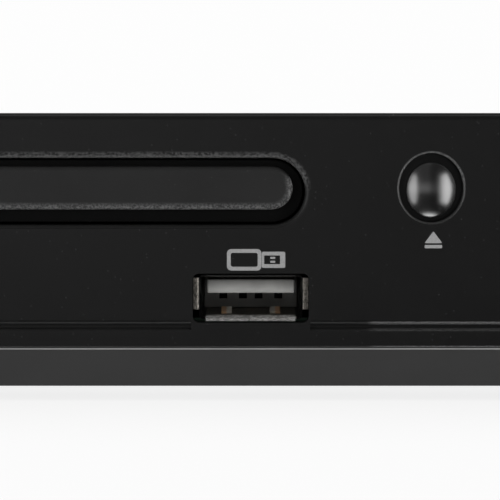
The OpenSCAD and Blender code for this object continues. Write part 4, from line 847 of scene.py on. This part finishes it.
def bent_strip(path, width, thickness):
    """A strip of metal along a path of (x, z) points, centred across Y."""
    work = bmesh.new()
    rows = []
    for index, (x, z) in enumerate(path):
        before, after = Vector(path[max(index - 1, 0)]), Vector(path[min(index + 1, len(path) - 1)])
        way = (after - before).normalized()
        off = Vector((-way.y, way.x)) * thickness / 2
        rows.append([work.verts.new(((x + s * off.x) * MM, y * width / 2 * MM, (z + s * off.y) * MM))
                     for s, y in ((1, -1), (1, 1), (-1, 1), (-1, -1))])
    skin(work, rows)
    work.faces.new(rows[0][::-1])
    work.faces.new(rows[-1])
    return as_mesh(work, outward=True)


def smooth_path(corners, steps=3):
    """A path of points with each inner corner cut and rounded."""
    for _ in range(steps):
        path = [corners[0]]
        for a, b in zip(corners, corners[1:]):
            path += [tuple((1 - share) * p + share * q for p, q in zip(a, b)) for share in (0.25, 0.75)]
        corners = path + [corners[-1]]
    return corners


def islands(node):
    """The loose parts of a solid, each as the list of its points."""
    work = bmesh.new()
    work.from_mesh(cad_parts[node].data)
    bmesh.ops.remove_doubles(work, verts=work.verts, dist=0.001 * MM)
    seen, parts = set(), []
    for start in work.verts:
        if start in seen:
            continue
        seen.add(start)
        points, wave = [], [start]
        while wave:
            vert = wave.pop()
            points.append(vert.co.copy())
            for edge in vert.link_edges:
                other = edge.other_vert(vert)
                if other not in seen:
                    seen.add(other)
                    wave.append(other)
        parts.append(points)
    work.free()
    return parts


def box_of(points):
    return (Vector([min(co[i] for co in points) for i in range(3)]),
            Vector([max(co[i] for co in points) for i in range(3)]))


def in_mm(point):
    return tuple(value / MM for value in point)


def as_it_is(point, turn=(0, 0, 0)):
    """A place for a copy at its own size."""
    return point, turn, (1, 1, 1)


print("mesh tools ready")

# %% [markdown]
# ## Screws
# The screws have pan heads with a cross recess and a threaded shank. Their places, directions and
# lengths are read from the plain screws of the model, which they replace.

# %% Screws
HEAD_R, HEAD_H, SHANK_R = 2.8, 1.4, 1.4
THREAD_PITCH = 0.7
NEXT_TURN = 0.7                     # how far each recess is turned from the last, in radians


def screw_mesh(length):
    """A pan head screw along Z: its head rests on z = 0 and its shank goes down."""
    thread = []
    z = -length + 0.5
    while z < -0.4:
        thread += [(SHANK_R * 0.80, z), (SHANK_R * 0.98, z + THREAD_PITCH * 0.42)]
        z += THREAD_PITCH
    head = [(HEAD_R * r, HEAD_H * h) for r, h in
            ((1, 0), (1, 0.28), (0.94, 0.58), (0.80, 0.83), (0.52, 0.97), (0, 1))]
    body = turned([(0, -length), (SHANK_R * 0.6, -length), *thread, (SHANK_R * 0.98, 0), *head])
    return carved(body, cross(HEAD_R * 0.55, HEAD_R * 0.11, HEAD_H * 0.30, HEAD_H + 0.2, taper=0.03))


def screw_places(node):
    """The screws of a solid, by length: places under their heads."""
    groups = {}
    for points in islands(node):
        low, high = box_of(points)
        size, centre = high - low, (low + high) / 2
        axis = max(range(3), key=lambda i: min(abs(size[i] - size[j]) for j in range(3) if j != i))
        head_r = size[(axis + 1) % 3] / 2
        rim = [co[axis] for co in points
               if math.hypot(*(co[i] - centre[i] for i in range(3) if i != axis)) > 0.95 * head_r]
        foot = centre.copy()
        foot[axis] = sum(rim) / len(rim)
        direction = Vector()
        direction[axis] = 1 if foot[axis] > centre[axis] else -1
        group = groups.setdefault(round(size[axis] / MM, 1), [])
        turn = direction.to_track_quat("Z", "Y").to_euler().to_matrix().to_4x4()
        group.append(as_it_is(foot, (turn @ Matrix.Rotation(NEXT_TURN * len(group), 4, "Z")).to_euler()))
    return groups


for node, finish in (("cover_screws", "black_screw"), ("inner_screws", "zinc_screw")):
    groups = screw_places(node)
    meshes = [copies(screw_mesh(length - HEAD_H), places) for length, places in groups.items()]
    keep(node + "_turned", joined(meshes), finish, stands_for=node)
    print(node, {length: len(places) for length, places in groups.items()})

# %% [markdown]
# ## Parts on the boards
# The flat chips get bodies with bevelled edges, a dimple at the first pin and bent leads at a fine pitch. Small
# resistors and capacitors fill the free areas of the boards, each on two pads of solder.

# %% Chips
LEAD_PITCH, LEAD_REACH = 0.8, 1.0
DIMPLE_INSET = 1.2
EYE_R, BACK_DEPTH = 1.6, 2.4        # the receiver's lens, and the depth of the body behind it

board_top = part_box("main_board")[1].z
bodies, leads, taken = [], [], []
for points in islands("chips"):
    low, high = box_of(points)
    if low.z > board_top + 5 * MM:
        # The remote receiver stands above the main board
        eye_low, eye_high = low, high
        continue
    taken.append((low, high))
    low_mm, high_mm = in_mm(low), in_mm(high)
    body = softened_box((low_mm[0] + LEAD_REACH, low_mm[1], low_mm[2] + 0.12),
                        (high_mm[0] - LEAD_REACH, high_mm[1], high_mm[2]), 0.12)
    dimple = turned([(0, -0.12), (0.4, -0.12), (0.5, 0.3), (0, 0.3)], 20)
    dimple.transform(Matrix.Translation((low.x + (LEAD_REACH + DIMPLE_INSET) * MM, high.y - DIMPLE_INSET * MM,
                                         high.z)))
    bodies.append(carved(body, dimple))
    count = int((high.y - low.y) / MM / LEAD_PITCH)
    for index in range(count):
        y = (low.y + high.y) / 2 + (index - (count - 1) / 2) * LEAD_PITCH * MM
        leads.append(as_it_is((high.x - LEAD_REACH * MM, y, low.z)))
        leads.append(as_it_is((low.x + LEAD_REACH * MM, y, low.z), (0, 0, math.pi)))

lead = bent_strip([(-0.1, 0.85), (0.22, 0.85), (0.34, 0.76), (0.46, 0.18), (0.56, 0.09), (0.98, 0.09)], 0.34, 0.14)
receiver = softened_box((eye_low.x / MM, eye_high.y / MM - BACK_DEPTH, eye_low.z / MM), in_mm(eye_high), 0.3)
eye = turned([(0, -EYE_R), *[(EYE_R * math.sin(a), -EYE_R * math.cos(a)) for a in
              [math.radians(15 * k) for k in range(1, 7)]], (0, 0)])
eye.transform(Matrix.Translation(((eye_low.x + eye_high.x) / 2, eye_high.y - BACK_DEPTH * MM,
                                  (eye_low.z + eye_high.z) / 2)) @ Matrix.Rotation(-math.pi / 2, 4, "X"))
keep("chip_bodies", joined([*bodies, receiver, eye]), "component_black", stands_for="chips")
keep("chip_leads", copies(lead, leads), "solder_tin")
print("chips:", len(bodies), "leads:", len(leads))

# %% Small parts
WANTED = {"main_board": 150, "power_board": 34}
TRIES = 4000
GRID = 0.5 * MM                     # parts keep to a grid, as on a real layout
BOARD_MARGIN, ROOM = 3 * MM, 1.9 * MM

dice = random.Random(11)
for node in ("capacitors", "transformer", "inner_screws"):
    taken += [box_of(points) for points in islands(node)]
for node in ("ribbon_cables", "video_jack", "left_audio_jack", "right_audio_jack", "digital_video_socket",
             "mains_inlet"):
    taken.append(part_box(node))

parts = []
for node, wanted in WANTED.items():
    low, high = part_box(node)
    count = 0
    for _ in range(TRIES):
        if count == wanted:
            break
        x, y = (round(dice.uniform(start + BOARD_MARGIN, end - BOARD_MARGIN) / GRID) * GRID
                for start, end in ((low.x, high.x), (low.y, high.y)))
        if any(a.x - ROOM < x < b.x + ROOM and a.y - ROOM < y < b.y + ROOM for a, b in taken):
            continue
        taken.append((Vector((x - GRID, y - GRID, 0)), Vector((x + GRID, y + GRID, 0))))
        size = dice.choice((0.8, 1.0, 1.0, 1.25))
        parts.append(((x, y, board_top), (0, 0, dice.choice((0, math.pi / 2))), (size, size, size)))
        count += 1

body = softened_box((-0.5, -0.42, 0.02), (0.5, 0.42, 0.48), 0.05)
ends = [softened_box((side * 0.8 - 0.32, -0.43, 0.01), (side * 0.8 + 0.32, 0.43, 0.5), 0.06) for side in (-1, 1)]
pads = [softened_box((side * 0.98 - 0.42, -0.55, -0.03), (side * 0.98 + 0.42, 0.55, 0.12), 0.05)
        for side in (-1, 1)]
keep("small_resistors", copies(body, [place for index, place in enumerate(parts) if index % 3]), "component_black")
keep("small_capacitors", copies(body, parts[::3]), "ceramic_tan")
keep("small_part_ends", copies(joined(ends + pads), parts), "solder_tin")
print("small parts:", len(parts))

# %% [markdown]
# ## Standing capacitors and the transformer
# A standing capacitor is a can in a printed sleeve that folds over its shoulder, with a scored
# aluminium top. The transformer is a ferrite core round a taped winding on a bobbin with pins.

# %% Standing capacitors
STRIPE_START, STRIPE_TURN, STRIPE_STEPS = 200, 50, 8
STRIPE_LIFT = 0.004

sleeves, tops, stripes = [], [], []
for points in islands("capacitors"):
    low, high = box_of(points)
    r, h = (high.x - low.x) / 2 / MM, (high.z - low.z) / MM
    neck = h / 9 + 0.3
    sleeves.append(turned([(r * 0.8, 0), (r * 0.97, 0), (r, 0.15), (r, neck - 0.5), (r - 0.38, neck),
                           (r, neck + 0.5), (r, h - 0.5), (r - 0.12, h - 0.15), (r - 0.45, h),
                           (r - 0.75, h - 0.02), (r - 0.8, h - 0.2)], 40))
    top = turned([(r - 0.7, h - 0.6), (r - 0.7, h - 0.16), (r - 0.9, h - 0.1), (0, h - 0.1)], 40)
    tops.append(carved(top, cross(0.06, r * 0.6, h - 0.24, h + 0.2)))
    # The pale stripe that marks the negative lead
    work = bmesh.new()
    columns = []
    for step in range(STRIPE_STEPS + 1):
        angle = math.radians(STRIPE_START + STRIPE_TURN * step / STRIPE_STEPS)
        columns.append([work.verts.new(((r + STRIPE_LIFT) * MM * math.cos(angle),
                                        (r + STRIPE_LIFT) * MM * math.sin(angle), z * MM))
                        for z in (neck + 0.6, h - 0.55)])
    for here, there in zip(columns, columns[1:]):
        work.faces.new((here[0], there[0], there[1], here[1]))
    stripes.append(as_mesh(work))
    for mesh in (sleeves[-1], tops[-1], stripes[-1]):
        mesh.transform(Matrix.Translation(((low.x + high.x) / 2, (low.y + high.y) / 2, low.z)))
smooth(sleeves + tops, 35)
keep("capacitor_sleeves", joined(sleeves), "component_blue", stands_for="capacitors")
keep("capacitor_tops", joined(tops), "pickup_metal")
keep("capacitor_stripes", joined(stripes), "print_grey")
print("capacitors:", len(sleeves))

# %% Transformer
low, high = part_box("transformer")
h = (high.z - low.z) / MM
half_x, half_y = (high.x - low.x) / 2 / MM, (high.y - low.y) / 2 / MM
core = [softened_box(*box, 0.25) for box in (
    ((-half_x, -3, 0.8), (-half_x + 2.6, 3, h)), ((half_x - 2.6, -3, 0.8), (half_x, 3, h)),
    ((-half_x, -3, h - 2.4), (half_x, 3, h)), ((-half_x, -3, 0.8), (half_x, 3, 3.0)))]
work = bmesh.new()
outline = rounded(0, 0, 2 * half_x - 6.0, 2 * half_y - 0.8, 2.6)
loops = [[work.verts.new((x * MM * k, y * MM * k, z * MM)) for x, y in outline]
         for k, z in ((0.94, 3.6), (1.0, 3.7), (1.0, h - 3.0), (0.94, h - 2.9))]
skin(work, loops)
work.faces.new(loops[0][::-1])
work.faces.new(loops[-1])
winding = as_mesh(work)
bobbin = []
for side in (-1, 1):
    edges = sorted((side * (half_y - 1.7), side * half_y))
    bobbin.append(softened_box((-half_x + 2.9, edges[0], 0.6), (half_x - 2.9, edges[1], 3.4), 0.2))
for z in (3.3, h - 3.1):
    bobbin.append(softened_box((-half_x + 2.8, -half_y + 0.1, z), (half_x - 2.8, half_y - 0.1, z + 0.5), 0.15))
pins = [softened_box((x - 0.3, y - 0.3, 0), (x + 0.3, y + 0.3, 0.8), 0.1)
        for x in (-5, -1.7, 1.7, 5) for y in (-half_y + 0.9, half_y - 0.9)]
for mesh in (*core, *bobbin, *pins, winding):
    mesh.transform(Matrix.Translation(((low.x + high.x) / 2, (low.y + high.y) / 2, low.z)))
keep("transformer_winding", winding, "coil_yellow", stands_for="transformer")
keep("transformer_core", joined(core), "ferrite")
keep("transformer_bobbin", joined(bobbin), "component_black")
keep("transformer_pins", joined(pins), "solder_tin")
print("transformer pins:", len(pins))

# %% [markdown]
# ## The data socket
# The socket's shell is folded from thin sheet: a tube with four lips that flare out at its mouth, with
# open corners between them. The lower lip is rolled to a bead, and the sheet's seam splits it. The
# tongue is moulded, so its upper corners are round.

# %% Shell of the data socket
SHEET = 0.3
MOUTH = 1.35                        # depth of the tube's front edge behind the face
INNER_W, INNER_H = 12.5, 5.05
WING_RISE = 0.53                    # the side lips lie a little above the tube's middle

port_x, face = socket.x / MM, face_y / MM
floor_z = (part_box("data_port_springs")[0] / MM).z
centre_z = floor_z + INNER_H / 2


def tube(outer, inner, start, end):
    """A tube along Y between two outlines of (x, z) points that have as many points."""
    work = bmesh.new()
    loops = [[work.verts.new((x * MM, y * MM, z * MM)) for x, z in outline]
             for outline, y in ((outer, start), (outer, end), (inner, end), (inner, start))]
    skin(work, loops + loops[:1])
    return as_mesh(work, outward=True)


mouth = tube(rounded(port_x, centre_z, INNER_W + 2 * SHEET, INNER_H + 2 * SHEET, 0.5),
             rounded(port_x, centre_z, INNER_W, INNER_H, 0.25), face + MOUTH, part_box("data_port_shell")[1].y / MM)
# The lower lip is a bead in two lengths, left and right of the seam, and the upper lip is a short flare.
# Their paths are (depth, height), with heights measured up from the tube's floor or from its roof.
bead = smooth_path([(MOUTH + 0.15, -0.14), (1.15, 0.02), (0.86, 0.19), (0.52, 0.17), (0.29, -0.06), (0.27, -0.44)])
flare = smooth_path([(MOUTH + 0.15, 0.15), (1.0, 0.16), (0.75, 0.24), (0.62, 0.38)])
lips = []
for path, base, start, end, thickness in ((bead, floor_z, -5.68, -0.265, SHEET), (bead, floor_z, -0.175, 5.62, SHEET),
                                          (flare, floor_z + INNER_H, -5.6, 5.6, 0.22)):
    lip = bent_strip([(depth, base + rise) for depth, rise in path], end - start, thickness)
    lip.transform(Matrix.Translation(((port_x + (start + end) / 2) * MM, face * MM, 0))
                  @ Matrix.Rotation(math.pi / 2, 4, "Z"))
    lips.append(lip)
# The side lips turn out to lie flat in the fascia's cut-out
wing = smooth_path([(6.40, -MOUTH - 0.15), (6.40, -0.85), (6.50, -0.42), (6.82, -0.26), (7.26, -0.27)])
for side in (-1, 1):
    lip = bent_strip(wing, 4.0, 0.24)
    lip.transform(Matrix.Translation((port_x * MM, face * MM, (centre_z + WING_RISE) * MM))
                  @ Matrix.Scale(side, 4, (1, 0, 0)) @ Matrix.Rotation(math.pi / 2, 4, "X"))
    if side < 0:
        lip.flip_normals()
    lips.append(lip)
smooth(lips, 40)
keep("socket_shell", joined([mouth, *lips]), "port_steel", stands_for="data_port_shell")
print("socket shell:", len(lips), "lips, floor at z =", round(floor_z, 2), "mm")

# %% Tongue of the data socket
TONGUE_W, TONGUE_H, TONGUE_EDGE = 11.1, 1.75, 0.16
TONGUE_DEPTH = 2                    # of its front end behind the face


def bar(outline, start, end, edge):
    """A bar along Y with the outline as its section and a bevel at its front end."""
    work = bmesh.new()
    cx, cz = (sum(point[i] for point in outline) / len(outline) for i in (0, 1))
    half_w, half_h = (max(abs(point[i] - mid) for point in outline) for i, mid in ((0, cx), (1, cz)))
    loops = []
    for y, draw in ((start, edge), (start + edge * 0.3, edge * 0.3), (start + edge, 0), (end, 0)):
        loops.append([work.verts.new(((cx + (x - cx) * (1 - draw / half_w)) * MM, y * MM,
                                      (cz + (z - cz) * (1 - draw / half_h)) * MM)) for x, z in outline])
    skin(work, loops)
    work.faces.new(loops[0])
    work.faces.new(loops[-1])
    return as_mesh(work, outward=True)


low, high = (in_mm(corner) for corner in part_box("data_port_tongue"))
section = rounded(port_x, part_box("data_port_contacts")[1].z / MM + TONGUE_H / 2, TONGUE_W, TONGUE_H, TONGUE_EDGE)
blade = bar(section, face + TONGUE_DEPTH, high[1] - 0.8, TONGUE_EDGE)
root = softened_box((low[0], high[1] - 1.6, low[2]), high, 0.15)
keep("socket_tongue", joined([blade, root]), "port_white", stands_for="data_port_tongue")
print("tongue:", TONGUE_W, "x", TONGUE_H, "mm")

# %% [markdown]
# ## The rear panel
# The vents behind the loader are lanced: the steel of each slot stays on as a louvre that leans
# inwards, so nobody can look straight through the case. The jacks are framed by printed rings, and an
# arrow or a wave says what each socket is for.

# %% Louvres behind the vents
VENTS, VENT_PITCH, VENT_LENGTH = 14, 5.0 * MM, 12.0
FIRST_VENT = -35 * MM               # from the middle of the loader
VENT_DROP = 3 * MM                  # from the middle of the tray's front
WALL = 0.8 * MM

rear_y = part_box("rear_panel")[1].y
first_x = middle("loader_frame").x + FIRST_VENT
vent_z = middle("tray_front").z - VENT_DROP
louvre = bent_strip(smooth_path([(-1.35, 0.12), (-0.85, 0.14), (-0.2, 0.55), (0.8, 1.15), (1.45, 1.3)]),
                    VENT_LENGTH + 0.8, 0.35)
smooth([louvre], 40)
places = [as_it_is((first_x + index * VENT_PITCH, rear_y - WALL, vent_z), (math.pi / 2, 0, 0))
          for index in range(VENTS)]
keep("vent_louvres", copies(louvre, places), "rear_sheet")
print("louvres:", len(places), "inner face at y =", round((rear_y - WALL) / MM, 2), "mm")

# %% Prints round the rear sockets
RING_IN, RING_OUT = 5.35, 5.95
ARROW_RISE, WAVE_RISE = 9.0 * MM, 11.2 * MM
WAVE_REACH, WAVE_HEIGHT, WAVE_LINE = 2.6, 0.75, 0.22
ARROW = [softened([(-0.9, 0.5), (0.9, 0.5), (0, 1.7)], 0.08), rounded(0, -0.25, 0.5, 1.7, 0.08)]

JACKS = {"video_jack": "jack_yellow", "left_audio_jack": "jack_white", "right_audio_jack": "jack_red"}
jack_z = middle("jack_barrels").z
for node, paint in JACKS.items():
    printed(node + "_ring", [arc(RING_OUT), arc(RING_IN)], middle(node).x, jack_z, rear_y, facing=1, paint=paint)

# Arrows out of the jacks and the digital socket, and a wave at the inlet for alternating current
for index, node in enumerate((*JACKS, "digital_video_socket")):
    printed("arrow_%d" % index, ARROW, middle(node).x, jack_z + ARROW_RISE, rear_y, facing=1)
wave = [(WAVE_REACH * (k / 24 - 0.5) * 2, WAVE_HEIGHT * math.sin(math.tau * k / 24)) for k in range(25)]
band = [(x, z + WAVE_LINE) for x, z in wave] + [(x, z - WAVE_LINE) for x, z in reversed(wave)]
inlet = middle("mains_inlet")
printed("inlet_wave", [band], inlet.x, inlet.z + WAVE_RISE, rear_y, facing=1)
print("rear prints at z =", round(jack_z / MM, 1), "mm")
